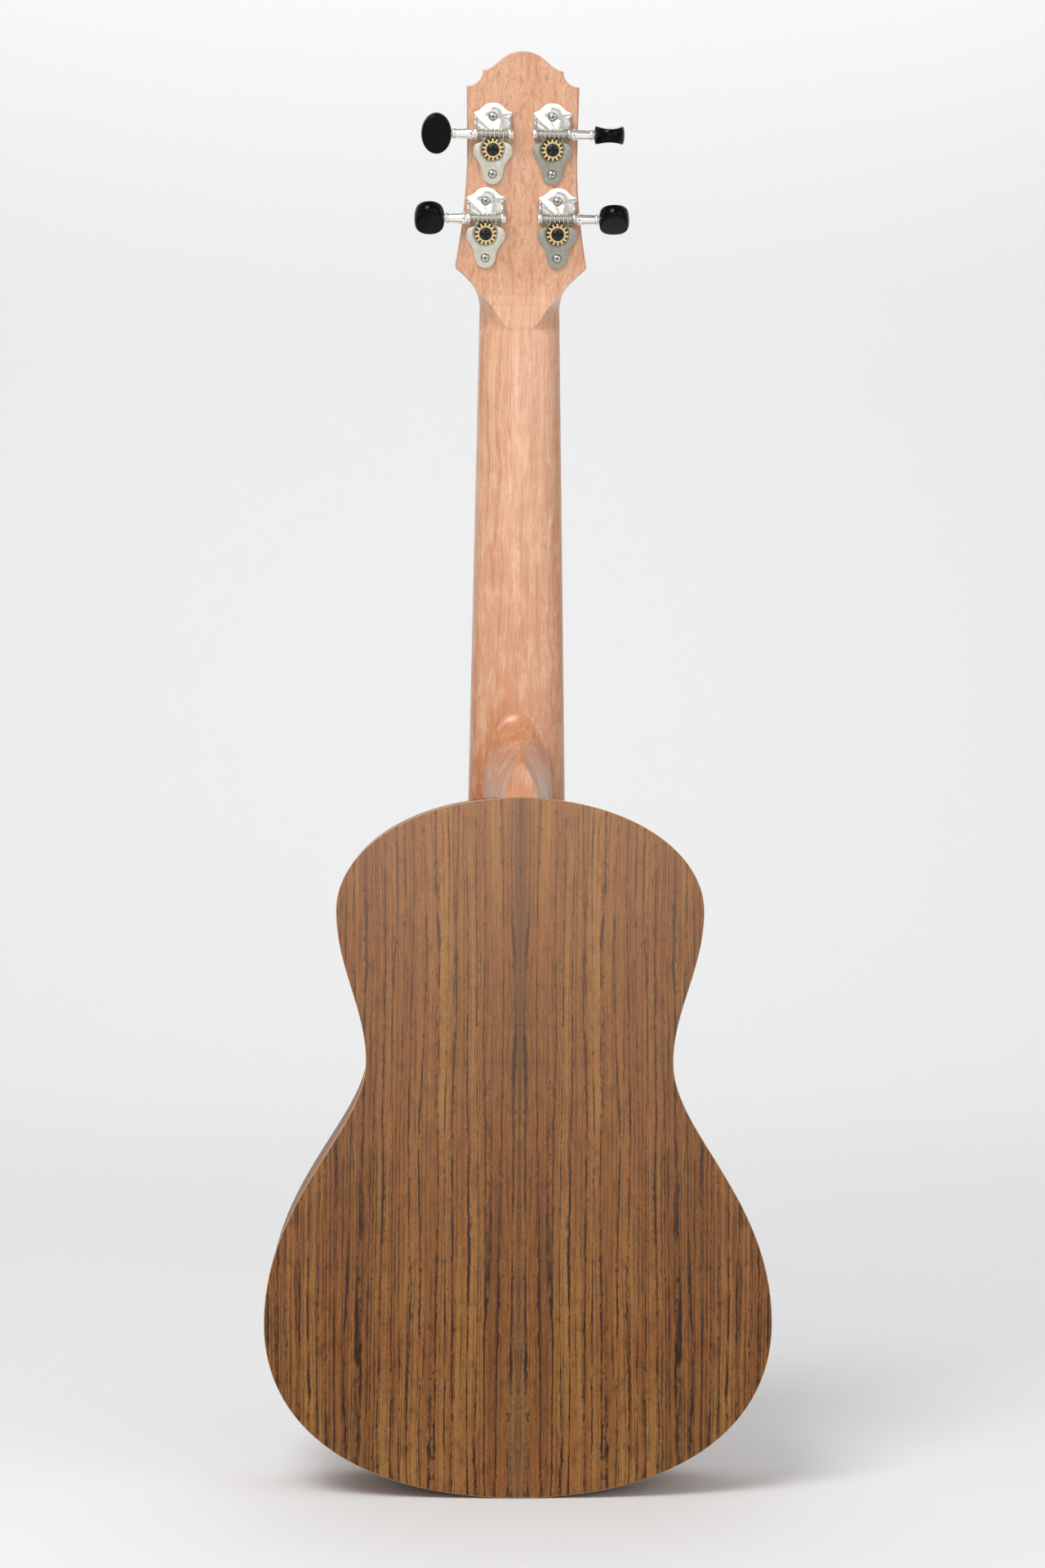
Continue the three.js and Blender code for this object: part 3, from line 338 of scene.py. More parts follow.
def striped_veneer(name, tone=1.0, edge_on=False, painted_sheen_above=0.0):
    """Fine straight dark lines in golden brown, mirrored about the centre seam like an opened book.

    painted_sheen_above is the strength of a painted sheen that makes the sheet lighter and greyer towards the
    neck; with it comes painted light, lighter and bluer at the bottom and lighter again towards the neck.
    """
    n = Nodes(name)
    x, y, z = n.xyz()
    away = n.plus(y, 300.0) if edge_on else n.math("ABSOLUTE", x)

    def field(source, per_mm, seed, along, detail=2.0, rough=0.6):
        where = n.combine(n.times(source, per_mm), seed, n.times(z, along))
        return n.noise(where, 1.0, detail, rough)

    # The lines waver a little along the length of the sheet, and more in their finest part.
    sway = field(away, 0.008, 0.0, 0.005, 1.0)
    waver = field(away, 0.08, 4.0, 0.03)
    shake = field(away, 0.55, 2.5, 0.2)
    across = away
    for shift, most in ((sway, 6.0), (waver, 1.5), (shake, 0.9)):
        across = n.plus(across, n.times(n.minus(shift, 0.5), most))

    def stripes(period, wander, seed):
        """Crests of a wave across the sheet whose spacing wanders."""
        bend = field(away, 0.45 / period, seed, 0.004)
        phase = n.plus(n.times(across, 2 * pi / period), n.times(bend, wander))
        return n.math("SINE", phase)

    middle = field(across, 0.16, 7.7, 0.003)
    wide = stripes(4.4, 17.0, 1.3)
    thin = stripes(2.3, 15.0, 4.4)
    fibre = field(across, 3.4, 5.5, 0.07, 3.0, 0.7)
    ink = field(across, 0.4, 2.0, 0.05, 3.0, 0.65)
    cloud = field(away, 0.03, 8.0, 0.02, 3.0)
    smudge = field(away, 0.2, 6.0, 0.12, 4.0, 0.7)
    blot = field(away, 0.6, 3.0, 0.28)
    speck = field(away, 2.2, 9.1, 0.75, 3.0, 0.75)

    tones = [(0.34, (0.2, 0.064, 0.017)), (0.5, (0.29, 0.108, 0.026)), (0.64, (0.43, 0.19, 0.05))]
    n.colour = n.ramp(middle, tones)
    for source, low, high, at_low, at_high, colour in (
        (cloud, 0.42, 0.6, 0.0, 0.55, (0.29, 0.084, 0.024)),
        (fibre, 0.4, 0.7, 0.0, 0.5, (0.5, 0.232, 0.07)),
        (fibre, 0.28, 0.42, 0.45, 0.0, (0.11, 0.04, 0.014)),
        (smudge, 0.5, 0.66, 0.0, 0.42, (0.105, 0.042, 0.016)),
        (speck, 0.32, 0.48, 0.55, 0.0, (0.085, 0.034, 0.014)),
        (speck, 0.58, 0.72, 0.0, 0.3, (0.54, 0.265, 0.095)),
    ):
        n.paint(n.span(source, low, high, at_low, at_high), colour)

    def inked(lines, stops, least, strength):
        """Dark lines whose ink breaks up here and there along their length."""
        drawn = n.times(n.ramp(lines, stops), n.span(ink, 0.4, 0.55, least, 1.0))
        n.paint(n.times(drawn, strength), (0.022, 0.012, 0.01))

    inked(wide, [(0.74, 0.0), (0.86, 0.3), (0.93, 0.9), (0.98, 1.0)], 0.3, 0.92)
    inked(thin, [(0.6, 0.0), (0.84, 0.3), (0.94, 0.8), (1.0, 1.0)], 0.12, 0.72)
    # Towards the outer edges the lines are closer and more even, with a golden ground between them.
    outer = n.span(away, 44.0, 66.0)
    even = n.plus(n.math("SINE", n.times(across, 2.35)), n.span(ink, 0.35, 0.65, -0.35, 0.35))
    even = n.times(n.span(even, 0.55, 0.95), 0.55)
    n.paint(n.times(outer, even), (0.04, 0.018, 0.01))
    # Small dark knots sit on some of the lines like beads on a string.
    beads = n.times(n.span(blot, 0.57, 0.62), n.span(wide, 0.2, 0.7))
    n.paint(n.times(beads, 0.7), (0.028, 0.014, 0.012))
    pores = n.ramp(field(across, 2.6, 9.1, 0.26, 2.0, 0.7), [(0.3, 1.0), (0.36, 0.3), (0.41, 0.0)])
    n.paint(n.times(pores, 0.55), (0.035, 0.015, 0.008))
    if not edge_on:
        # A greyish heart stripe follows the seam, pinched below the waist.
        width = n.larger(n.span(z, 155.0, 215.0, 0.5, 2.7), n.span(z, 140.0, 20.0, 0.5, 4.6))
        width = n.plus(width, n.span(fibre, 0.3, 0.7, -0.35, 0.35))
        core = n.minus(1.0, n.span(away, n.times(width, 0.86), width))
        core = n.times(core, n.span(speck, 0.35, 0.65, 0.95, 0.35))
        core = n.times(core, n.span(z, 90.0, 200.0, 0.55, 0.85))
        n.paint(core, (0.1, 0.052, 0.03))
        n.paint(n.span(away, 0.1, 0.25, 0.45, 0.0), (0.03, 0.017, 0.011))
    n.paint(1.0, (tone, tone, tone), "MULTIPLY")
    # Painted light: a pale greyish painted sheen grows towards the neck, the bottom is painted lighter and
    # bluer, and the top lighter again.
    if painted_sheen_above:
        n.paint(n.span(z, 60.0, 290.0, 0.0, painted_sheen_above), (0.4, 0.245, 0.16))
        n.paint(n.span(z, 110.0, 0.0), (1.32, 1.42, 1.6), "MULTIPLY")
        n.paint(n.span(z, 40.0, 290.0), (1.26, 1.3, 1.36), "MULTIPLY")
    relief = n.minus(n.times(fibre, 0.6), pores)
    rough = n.plus(n.span(smudge, 0.3, 0.7, 0.4, 0.5), n.times(pores, 0.12))
    return n.finish(rough, n.bump(relief, 4e-5, 0.6), Specular_IOR_Level=0.12)


def open_pored(name, light, dark, pore, pore_scale=1.0, rough=(0.36, 0.5), coat=0.2):
    """A plain wood with fine pores that run along Z."""
    n = Nodes(name)
    cloud = n.grain((0.05, 0.05, 0.012), 3.0)
    band = n.grain((0.42, 0.42, 0.012), 3.0, 0.6, 0.4)
    fibre = n.grain((3.4 * pore_scale, 3.4 * pore_scale, 0.055), 3.0, 0.7)
    short = n.grain((4.6 * pore_scale, 4.6 * pore_scale, 0.16), 2.0, 0.6)
    n.colour = n.blend(n.span(band, 0.3, 0.7), light, dark)
    n.paint(n.times(n.span(cloud, 0.35, 0.65), 0.5), dark)
    n.paint(n.span(fibre, 0.25, 0.55, 0.32, 0.0), pore)
    pores = n.ramp(short, [(0.28, 1.0), (0.36, 0.25), (0.42, 0.0)])
    n.paint(n.times(pores, 0.6), pore)
    normal = n.bump(n.minus(fibre, pores), 3e-5, 0.5)
    roughness = n.plus(n.span(cloud, 0.3, 0.7, *rough), n.times(pores, 0.15))
    return n.finish(roughness, normal, Coat_Weight=coat, Coat_Roughness=0.25)


def mahogany(name):
    """Pale reddish wood under a soft gloss, with long colour bands and short dark pores along the grain."""
    n = Nodes(name)
    x, y, z = n.xyz()
    drift = n.noise(n.combine(n.times(x, 0.02), 0.0, n.times(z, 0.012)), 1.0, 2.0)
    across = n.plus(x, n.times(n.minus(drift, 0.5), 14.0))

    def figure(per_mm, deep, along, detail=3.0, rough=0.6):
        where = n.combine(n.times(across, per_mm), n.times(y, deep), n.times(z, along))
        return n.noise(where, 1.0, detail, rough)

    cloud = figure(0.06, 0.06, 0.018, rough=0.55)
    band = figure(0.36, 0.3, 0.012)
    curl = figure(0.25, 0.2, 0.11)
    fibre = figure(2.6, 2.0, 0.07, rough=0.7)
    short = figure(3.4, 3.0, 0.24, 2.0)
    line = figure(0.85, 0.7, 0.008)
    tones = [(0.28, (0.52, 0.25, 0.14)), (0.44, (0.635, 0.348, 0.212)), (0.7, (0.715, 0.43, 0.285))]
    n.colour = n.ramp(band, tones)
    # Painted shade: the wood is painted redder and darker towards the heel, where less light falls.
    deep = n.times(n.span(cloud, 0.38, 0.62, 0.45, 1.0), n.span(z, 290.0, 440.0, 0.95, 0.15))
    n.paint(deep, (0.5, 0.168, 0.05))
    n.paint(n.times(n.span(curl, 0.46, 0.66), n.span(z, 440.0, 520.0, 0.35, 0.0)), (0.8, 0.54, 0.345))
    n.paint(n.span(fibre, 0.28, 0.5, 0.62, 0.0), (0.33, 0.125, 0.055))
    n.paint(n.span(line, 0.36, 0.44, 0.5, 0.0), (0.4, 0.165, 0.085))
    pores = n.ramp(short, [(0.3, 1.0), (0.37, 0.35), (0.43, 0.0)])
    n.paint(n.times(pores, 0.55), (0.28, 0.11, 0.052))
    normal = n.bump(n.minus(n.times(fibre, 0.6), pores), 4e-5, 0.5)
    rough = n.plus(n.span(cloud, 0.3, 0.7, 0.27, 0.36), n.times(pores, 0.15))
    return n.finish(rough, normal, Coat_Weight=0.35, Coat_Roughness=0.22)


def plated_metal(name, colour, rough):
    """Plated or machined metal with rolling marks, fingerprints and slightly dull patches."""
    n = Nodes(name)
    spot = tuple(c * dimmer for c, dimmer in zip(colour, (0.6, 0.55, 0.45)))
    patch = n.noise(n.here, 0.22, 4.0, 0.6, 0.5)
    smear = n.grain((0.9, 0.9, 0.35), 4.0, 0.65)
    fine = n.grain((9.0, 9.0, 1.4), 2.0, 0.7)
    n.colour = colour
    n.paint(n.span(patch, 0.45, 0.75, 0.0, 0.4), spot)
    roughness = n.plus(n.span(smear, 0.35, 0.7, rough, rough + 0.14), n.times(fine, 0.045))
    normal = n.bump(patch, 8e-5, 0.3, n.bump(fine, 1e-5, 0.15))
    return n.finish(roughness, normal, Metallic=1.0)


def plate_nickel(name, below):
    """Stamped plate: bright above the worm, with painted shade below it, and a painted shadow with grime round
    the post and the screws.

    below is the tone of the painted shade on the lower part.
    """
    n = Nodes(name)
    x, y, z = n.xyz()
    smear = n.noise(n.here, 0.45, 4.0, 0.6, 0.4)
    fine = n.grain((1.4, 9.0, 9.0), 2.0, 0.7)
    # Painted shade: the plate is painted darker below the worm, and made rougher there.
    dimmer = n.span(z, 12.5, 3.0)
    low = tuple(c * below for c in (0.74, 0.72, 0.61))
    n.colour = n.blend(dimmer, (0.86, 0.845, 0.79), low)
    n.paint(n.span(smear, 0.42, 0.68, 0.0, 0.4), tuple(c * 0.68 for c in low))

    def around(at, inner, outer):
        up = n.minus(z, at)
        r = n.radius(x, up)
        return n.span(r, inner, outer, 1.0, 0.0)

    # Painted shadow of the gear round the post and of the screw heads round the screws, with grime, on the
    # flat face only.
    shadow_and_grime = n.larger(around(0.0, 4.6, 6.0), n.larger(around(13.6, 1.75, 2.15), around(-10.5, 1.75, 2.15)))
    flat = n.span(y, -2.2, -1.6)
    n.paint(n.times(n.times(shadow_and_grime, flat), 0.82), (0.1, 0.085, 0.06))
    rough = n.plus(n.span(smear, 0.35, 0.7, 0.14, 0.24), n.times(dimmer, 0.16))
    normal = n.bump(smear, 4e-5, 0.15, n.bump(fine, 1e-5, 0.2))
    return n.finish(rough, normal, Metallic=1.0)


def turned_nickel(name, root_r, tip_r):
    """Turned parts along X: painted shade darkens everything nearer the axis than tip_r."""
    n = Nodes(name)
    x, y, z = n.xyz()
    r = n.radius(y, z)
    ring = n.grain((5.0, 0.5, 0.5), 3.0, 0.6)
    between = n.times(n.span(r, root_r, tip_r, 1.0, 0.0), n.span(n.math("ABSOLUTE", x), 6.6, 6.9, 1.0, 0.0))
    n.colour = n.blend(n.span(ring, 0.4, 0.7, 0.0, 0.4), (0.92, 0.905, 0.86), (0.7, 0.68, 0.6))
    # Painted shade in the thread's roots, which are also made rougher.
    n.paint(n.times(between, 0.7), (0.16, 0.14, 0.105))
    rough = n.plus(n.span(ring, 0.3, 0.7, 0.14, 0.24), n.times(between, 0.3))
    return n.finish(rough, n.bump(ring, 1e-5, 0.3), Metallic=1.0)


def gear_brass(name, face):
    """Cut brass: bright on the face and the tips, with painted shade between the teeth below the face. face is
    its height.
    """
    n = Nodes(name)
    x, y, z = n.xyz()
    r = n.radius(x, z)
    grain = n.grain((4.0, 1.0, 4.0), 3.0, 0.65)
    lathed = n.noise(n.combine(n.times(r, 7.0), 0.0, 0.0), 1.0, 2.0)
    n.colour = n.ramp(grain, [(0.3, (0.72, 0.5, 0.22)), (0.55, (0.9, 0.69, 0.36)), (0.8, (0.97, 0.8, 0.5))])
    deep = n.span(n.times(y, -1.0), face - 1.6, face - 0.7, 1.0, 0.0)
    shade_between_teeth = n.times(deep, n.span(r, 4.3, 4.72, 1.0, 0.25))
    # Painted shade in the gaps between the teeth, towards the plate.
    n.paint(n.times(shade_between_teeth, 0.75), (0.16, 0.085, 0.03))
    normal = n.bump(lathed, 1e-5, 0.35, n.bump(grain, 2e-5, 0.25))
    return n.finish(n.span(grain, 0.3, 0.7, 0.22, 0.36), normal, Metallic=1.0)


def screw_nickel(name, recess):
    """A plated screw with painted shade in its cross recess and round its rim. recess is the height where it
    begins.
    """
    n = Nodes(name)
    x, y, z = n.xyz()
    r = n.radius(x, z)
    wear = n.noise(n.here, 1.6, 3.0, 0.65)
    n.colour = n.blend(n.span(wear, 0.4, 0.7, 0.0, 0.5), (0.8, 0.78, 0.72), (0.52, 0.49, 0.42))
    height = n.times(y, -1.0)
    inside = n.times(n.span(r, 1.0, 1.2, 1.0, 0.0), n.span(height, recess - 0.12, recess - 0.02, 1.0, 0.0))
    rim = n.span(r, 1.45, 1.62)
    # Painted shade in the cross recess and round the rim.
    n.paint(n.larger(n.times(inside, 0.9), n.times(rim, 0.7)), (0.05, 0.042, 0.035))
    return n.finish(n.span(wear, 0.3, 0.7, 0.2, 0.36), n.bump(wear, 4e-5, 0.3), Metallic=1.0)


def glossy_black(name):
    n = Nodes(name)
    swirl = n.noise(n.here, 0.16, 3.0, 0.5, 1.2)
    dust = n.noise(n.here, 2.4, 2.0, 0.7)
    scuff = n.grain((0.4, 3.2, 3.2), 3.0, 0.7)
    n.colour = n.ramp(swirl, [(0.35, (0.0008, 0.0008, 0.0014)), (0.65, (0.0024, 0.0024, 0.0036))])
    roughness = n.plus(n.span(scuff, 0.4, 0.75, 0.05, 0.14), n.span(dust, 0.6, 0.8, 0.0, 0.08))
    return n.finish(roughness, n.bump(swirl, 1e-4, 0.08), Specular_IOR_Level=0.11)


def black_steel(name):
    n = Nodes(name)
    grain = n.noise(n.here, 5.0, 3.0, 0.7)
    worn = n.noise(n.here, 0.9, 3.0, 0.6)
    n.colour = n.ramp(worn, [(0.4, (0.01, 0.011, 0.013)), (0.72, (0.045, 0.045, 0.05))])
    return n.finish(n.span(grain, 0.3, 0.7, 0.28, 0.45), n.bump(grain, 3e-5, 0.3), Metallic=0.6)


def bone_white(name):
    n = Nodes(name)
    vein = n.grain((0.25, 1.4, 1.4), 4.0, 0.6)
    speck = n.noise(n.here, 3.0, 2.0)
    n.colour = n.ramp(vein, [(0.3, (0.78, 0.72, 0.57)), (0.55, (0.86, 0.82, 0.7)), (0.8, (0.89, 0.86, 0.76))])
    n.paint(n.span(speck, 0.3, 0.4, 0.18, 0.0), (0.55, 0.46, 0.32))
    rough, normal = n.span(vein, 0.3, 0.7, 0.28, 0.4), n.bump(speck, 2e-5, 0.3)
    return n.finish(rough, normal, Subsurface_Weight=0.08, Subsurface_Scale=0.001)


def nylon_clear(name):
    n = Nodes(name)
    haze = n.grain((2.0, 2.0, 0.08), 2.0)
    n.colour = n.ramp(haze, [(0.3, (0.7, 0.68, 0.6)), (0.7, (0.84, 0.83, 0.78))])
    return n.finish(n.span(haze, 0.3, 0.7, 0.16, 0.28), Transmission_Weight=0.35, IOR=1.53)


def pearl_dot(name):
    n = Nodes(name)
    cloud = n.noise(n.here, 0.9, 4.0, 0.6, 1.5)
    n.colour = n.ramp(cloud, [(0.3, (0.62, 0.66, 0.64)), (0.5, (0.86, 0.86, 0.82)), (0.7, (0.8, 0.72, 0.74))])
    return n.finish(n.span(cloud, 0.3, 0.7, 0.12, 0.25), Coat_Weight=0.4, Coat_Roughness=0.1)


def rosette_rings(name):
    """Concentric inlaid rings round the soundhole: dark, pale, and a braided middle."""
    n = Nodes(name)
    x, _, z = n.xyz()
    up = n.minus(z, SOUNDHOLE[0])
    r = n.radius(x, up)
    angle = n.math("ARCTAN2", up, x)
    grain = n.grain((2.0, 2.0, 2.0), 3.0)
    bands = n.ramp(
        n.span(r, SOUNDHOLE[2], SOUNDHOLE[3]),
        [(0.0, 0.0), (0.1, 0.0), (0.11, 1.0), (0.2, 1.0), (0.21, 0.0), (0.3, 0.0), (0.31, 0.5), (0.69, 0.5),
         (0.7, 0.0), (0.79, 0.0), (0.8, 1.0), (0.89, 1.0), (0.9, 0.0)],
    )
    slant = n.plus(n.times(angle, 90.0), n.times(r, 3.2))
    braid = n.span(n.math("SINE", slant), -0.2, 0.2)
    middle = n.math("COMPARE", bands, 0.5, 0.2)
    n.colour = n.ramp(bands, [(0.0, (0.022, 0.014, 0.01)), (1.0, (0.62, 0.48, 0.28))])
    n.paint(middle, n.blend(braid, (0.045, 0.026, 0.016), (0.5, 0.36, 0.19)))
    n.paint(n.span(grain, 0.3, 0.7, 0.0, 0.25), (0.1, 0.06, 0.035))
    return n.finish(n.span(grain, 0.3, 0.7, 0.3, 0.42), Coat_Weight=0.3, Coat_Roughness=0.2)


LOOK = {
    "striped": striped_veneer("striped_veneer_back", 0.64, painted_sheen_above=0.25),
    "striped_top": striped_veneer("striped_veneer_top", 1.1),
    "striped_side": striped_veneer("striped_veneer_side", 1.0, True),
    # Pale edge wood: partly the sanded ply edge, partly a painted reflection of the floor.
    "ply_edge_and_reflection": open_pored("pale_ply_edge_painted_reflection", (0.62, 0.43, 0.2), (0.5, 0.32, 0.14), (0.3, 0.17, 0.07), 1.5),
    "neck": mahogany("neck_mahogany"),
    "pale": open_pored(
        "pale_lining_wood", (0.6, 0.44, 0.26), (0.5, 0.34, 0.18), (0.32, 0.2, 0.1), 1.3, (0.6, 0.75), 0.0),
    "spruce": open_pored(
        "spruce_brace", (0.7, 0.54, 0.33), (0.58, 0.4, 0.21), (0.42, 0.26, 0.12), 0.6, (0.6, 0.72), 0.0),
    "dark": open_pored(
        "dark_hardwood", (0.062, 0.036, 0.024), (0.03, 0.017, 0.012), (0.01, 0.006, 0.005),
        1.2, (0.38, 0.52), 0.1),
    "nickel": plated_metal("nickel_plate", (0.88, 0.865, 0.82), 0.16),
    # Lit and shaded copies of one plate: the right-hand copy has darker painted shade below the worm.
    "plate_left": plate_nickel("nickel_baseplate_left_lit", 0.92),
    "plate_right": plate_nickel("nickel_baseplate_right_shaded", 0.52),
    "worm": turned_nickel("nickel_worm", 1.75, 2.25),
    "screw": screw_nickel("nickel_wood_screw", BASE_THICK + GAP + SCREW_HEAD),
    "fret": plated_metal("fret_wire", (0.8, 0.78, 0.72), 0.2),
    "brass": gear_brass("gear_brass", GEAR_HIGH),
    "black_screw": black_steel("black_screw_steel"),
    "button": glossy_black("button_black"),
    "bone": bone_white("bone_white"),
    "nylon": nylon_clear("nylon_string"),
    "pearl": pearl_dot("pearl_dot"),
    "rosette": rosette_rings("rosette_rings"),
}

# ---- mesh building


def add(name, mesh, look, replaces=(), body=ROOT, matrix=None, sharp=35.0):
    """A new piece from a mesh in metres, in its own frame, set at matrix in the row frame."""
    obj = new_object(name, mesh)
    for one in [look] if isinstance(look, str) else look:
        mesh.materials.append(LOOK[one])
    if matrix is not None:
        obj.matrix_world = matrix
    mesh.shade_smooth()
    mesh.set_sharp_from_angle(angle=radians(sharp))
    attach(obj, body)
    if replaces:
        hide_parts(*replaces)


def mesh_of(name, verts, faces):
    """A closed mesh from points in millimetres, with its faces turned outwards."""
    mesh = bpy.data.meshes.new(name)
    mesh.from_pydata([[c * MM for c in v] for v in verts], [], faces)
    work = bmesh.new()
    work.from_mesh(mesh)
    bmesh.ops.remove_doubles(work, verts=work.verts, dist=1e-7)
    bmesh.ops.recalc_face_normals(work, faces=work.faces)
    work.to_mesh(mesh)
    work.free()
    return mesh


def bands(rings):
    """Faces between each ring of points and the next."""
    count = len(rings[0])
    faces = []
    for a in range(0, (len(rings) - 1) * count, count):
        b = a + count
        faces += [(a + j, a + (j + 1) % count, b + (j + 1) % count, b + j) for j in range(count)]
    return faces


def skin(name, rings):
    """A skin over rings of equal counts, capped at both ends."""
    count = len(rings[0])
    verts = [p for ring in rings for p in ring]
    caps = [tuple(reversed(range(count))), tuple(range(len(verts) - count, len(verts)))]
    return mesh_of(name, verts, bands(rings) + caps)


def shift(x, y, z):
    """A move given in millimetres."""
    return Matrix.Translation((x * MM, y * MM, z * MM))


def placed(mesh, matrix):
    mesh.transform(matrix)
    return mesh


def lathe(name, profile, segments, axis="Y"):
    """A turned piece. profile is (radius, height), starting and ending on the axis or closing on itself."""
    flat, starts, counts = [], [], []
    for r, h in profile:
        starts.append(len(flat))
        counts.append(1 if r < 1e-6 else segments)
        for k in range(counts[-1]):
            c, s = cos(2 * pi * k / segments), sin(2 * pi * k / segments)
            flat.append((h, r * c, r * s) if axis == "X" else (r * c, h, r * s))
    pairs = list(zip(range(len(profile) - 1), range(1, len(profile))))
    if profile[0][0] > 1e-6:
        pairs.append((len(profile) - 1, 0))
    faces = []
    for i, j in pairs:
        a, b = starts[i], starts[j]
        if counts[i] == counts[j] == 1:
            continue
        for k in range(segments):
            n = (k + 1) % segments
            if counts[i] == 1:
                faces.append((a, b + n, b + k))
            elif counts[j] == 1:
                faces.append((a + k, a + n, b))
            else:
                faces.append((a + k, a + n, b + n, b + k))
    return mesh_of(name, flat, faces)


def cylinder(r, low, high, segments, at=(0, 0, 0), axis="Y"):
    """A plain cylinder, moved to at. It is only ever a cutter."""
    return placed(lathe("cylinder", [(0, low), (r, low), (r, high), (0, high)], segments, axis), shift(*at))


def prism(name, points, low, high, place=lambda a, b, h: (a, h, b)):
    """An outline carried from low to high. place turns (a, b, height) into a point."""
    return skin(name, [[place(a, b, h) for a, b in points] for h in (low, high)])


def rectangle(a, b):
    return [(-a, -b), (a, -b), (a, b), (-a, b)]


def applied(obj):
    """The object's mesh with its modifiers worked in."""
    bpy.context.view_layer.update()
    depsgraph = bpy.context.evaluated_depsgraph_get()
    return bpy.data.meshes.new_from_object(obj.evaluated_get(depsgraph))


def scratch(mesh):
    return new_object("scratch", mesh)


def combined(base, join=(), cut=()):
    """The base mesh with the join meshes added and the cut meshes taken away, in that order."""
    obj = scratch(base)
    tools = []
    for operation, mesh in [("UNION", mesh) for mesh in join] + [("DIFFERENCE", mesh) for mesh in cut]:
        tools.append(scratch(mesh))
        change = obj.modifiers.new("cut", "BOOLEAN")
        change.operation = operation
        change.solver = "EXACT"
        change.object = tools[-1]
    made = applied(obj)
    for used in [obj, *tools]:
        bpy.data.objects.remove(used)
    return made


def round_edges(obj, width, angle=30.0):
    """A bevel over the sharp edges, width in millimetres."""
    change = obj.modifiers.new("round", "BEVEL")
    change.width = width * MM
    change.segments = 2
    change.limit_method = "ANGLE"
    change.angle_limit = radians(angle)


def softened(mesh, width, angle):
    obj = scratch(mesh)
    round_edges(obj, width, angle)
    made = applied(obj)
    bpy.data.objects.remove(obj)
    return made


def smoothed(points, steps):
    """A Catmull-Rom curve through the points, from the first to the last."""
    n = len(points)
    made = []
    for i in range(n - 1):
        p = [points[min(max(i + k - 1, 0), n - 1)] for k in range(4)]
        for j in range(steps):
            t = j / steps
            made.append(tuple(
                0.5 * (2 * b + (c - a) * t + (2 * a - 5 * b + 4 * c - d) * t * t
                       + (3 * b - a - 3 * c + d) * t**3)
                for a, b, c, d in zip(*p)
            ))
    return made + [tuple(points[-1])]


def tube(name, route, r, sides):
    """A round rod of radius r along a route of points."""
    points = [Vector(p) for p in route]
    turns = [2 * pi * k / sides for k in range(sides)]
    rings = []
    side = None
    for i, p in enumerate(points):
        ahead = (points[min(i + 1, len(points) - 1)] - points[max(i - 1, 0)]).normalized()
        if side is None:
            side = ahead.orthogonal().normalized()
        side = (side - ahead * side.dot(ahead)).normalized()
        up = ahead.cross(side)
        rings.append([p + side * (r * cos(a)) + up * (r * sin(a)) for a in turns])
    return skin(name, rings)


def carried(node, look, width=0.0):
    """A CAD node that keeps its shape and gets a finer finish."""
    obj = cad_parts[node]
    obj.data.materials.clear()
    obj.data.materials.append(LOOK[look])
    if width:
        round_edges(obj, width)


# ---- body


# The outline's inset at each depth below a plate's outer face.
PLATE_EDGE = ((0.55, 0.0), (0.22, 0.1), (0.0, 0.42), (0.0, PLATE))


def plate_rings(face_y, inward):
    """Rings of the outline from the outer face inwards. face_y gives that face's y at a height."""
    return [
        [(x, face_y(z) + inward * depth, z) for x, z in mirrored(half_outline(inset))]
        for inset, depth in PLATE_EDGE
    ]


def make_back():
    mesh = skin("back_plate_board", plate_rings(back_y, 1))
    add("back_plate_board", mesh, ["striped", "ply_edge_and_reflection"], ["back_plate"], sharp=50)
    # The rounded edge gets the pale edge wood, whose paleness is partly the sanded ply edge and partly a
    # painted reflection of the white floor.
    for face in mesh.polygons:
        if abs(face.normal.y) < 0.75:
            face.material_index = 1


def make_top():
    z0, hole, inner, outer = SOUNDHOLE
    here = shift(0, 0, z0)
    board = skin("soundboard_board", plate_rings(lambda z: FRONT_Y, -1)[::-1])

    def ring(name, r0, r1, low, high, segments):
        return placed(lathe(name, [(r0, low), (r1, low), (r1, high), (r0, high)], segments), here)

    opening = cylinder(hole, FRONT_Y - 4, FRONT_Y + 2, 72, (0, 0, z0))
    channel = ring("channel", inner - GAP, outer + GAP, FRONT_Y - 0.8, FRONT_Y + 1, 72)
    mesh = combined(board, cut=[opening, channel])
    add("soundboard_board", mesh, "striped_top", ["soundboard"], sharp=40)
    inlay = ring("rosette_inlay", inner, outer, FRONT_Y - 0.74, FRONT_Y, 96)
    add("rosette_inlay", inlay, "rosette", ["rosette"])


def make_sides():
    for name, hand in (("bass", 1), ("treble", -1)):
        outer, inner = half_outline(0.0), half_outline(RIB)
        rings = []
        for (xo, zo), (xi, zi) in zip(outer, inner):
            front = FRONT_Y - PLATE - GAP
            rings.append([
                (hand * xo, front, zo),
                (hand * xo, back_y(zo) + PLATE + GAP, zo),
                (hand * xi, back_y(zi) + PLATE + GAP, zi),
                (hand * xi, front, zi),
            ])
        piece = "side_%s_rib" % name
        add(piece, skin(piece, rings), "striped_side", ["side_" + name], sharp=40)


# ---- neck


def board_half(z):
    return mix(JOIN_HALF, NUT_HALF, (z - LENGTH) / (NUT_Z - LENGTH))


def on_head(v, y=0.0):
    return (FRONT_Y + y * cos(TILT) - v * sin(TILT), HEAD_Z + y * sin(TILT) + v * cos(TILT))


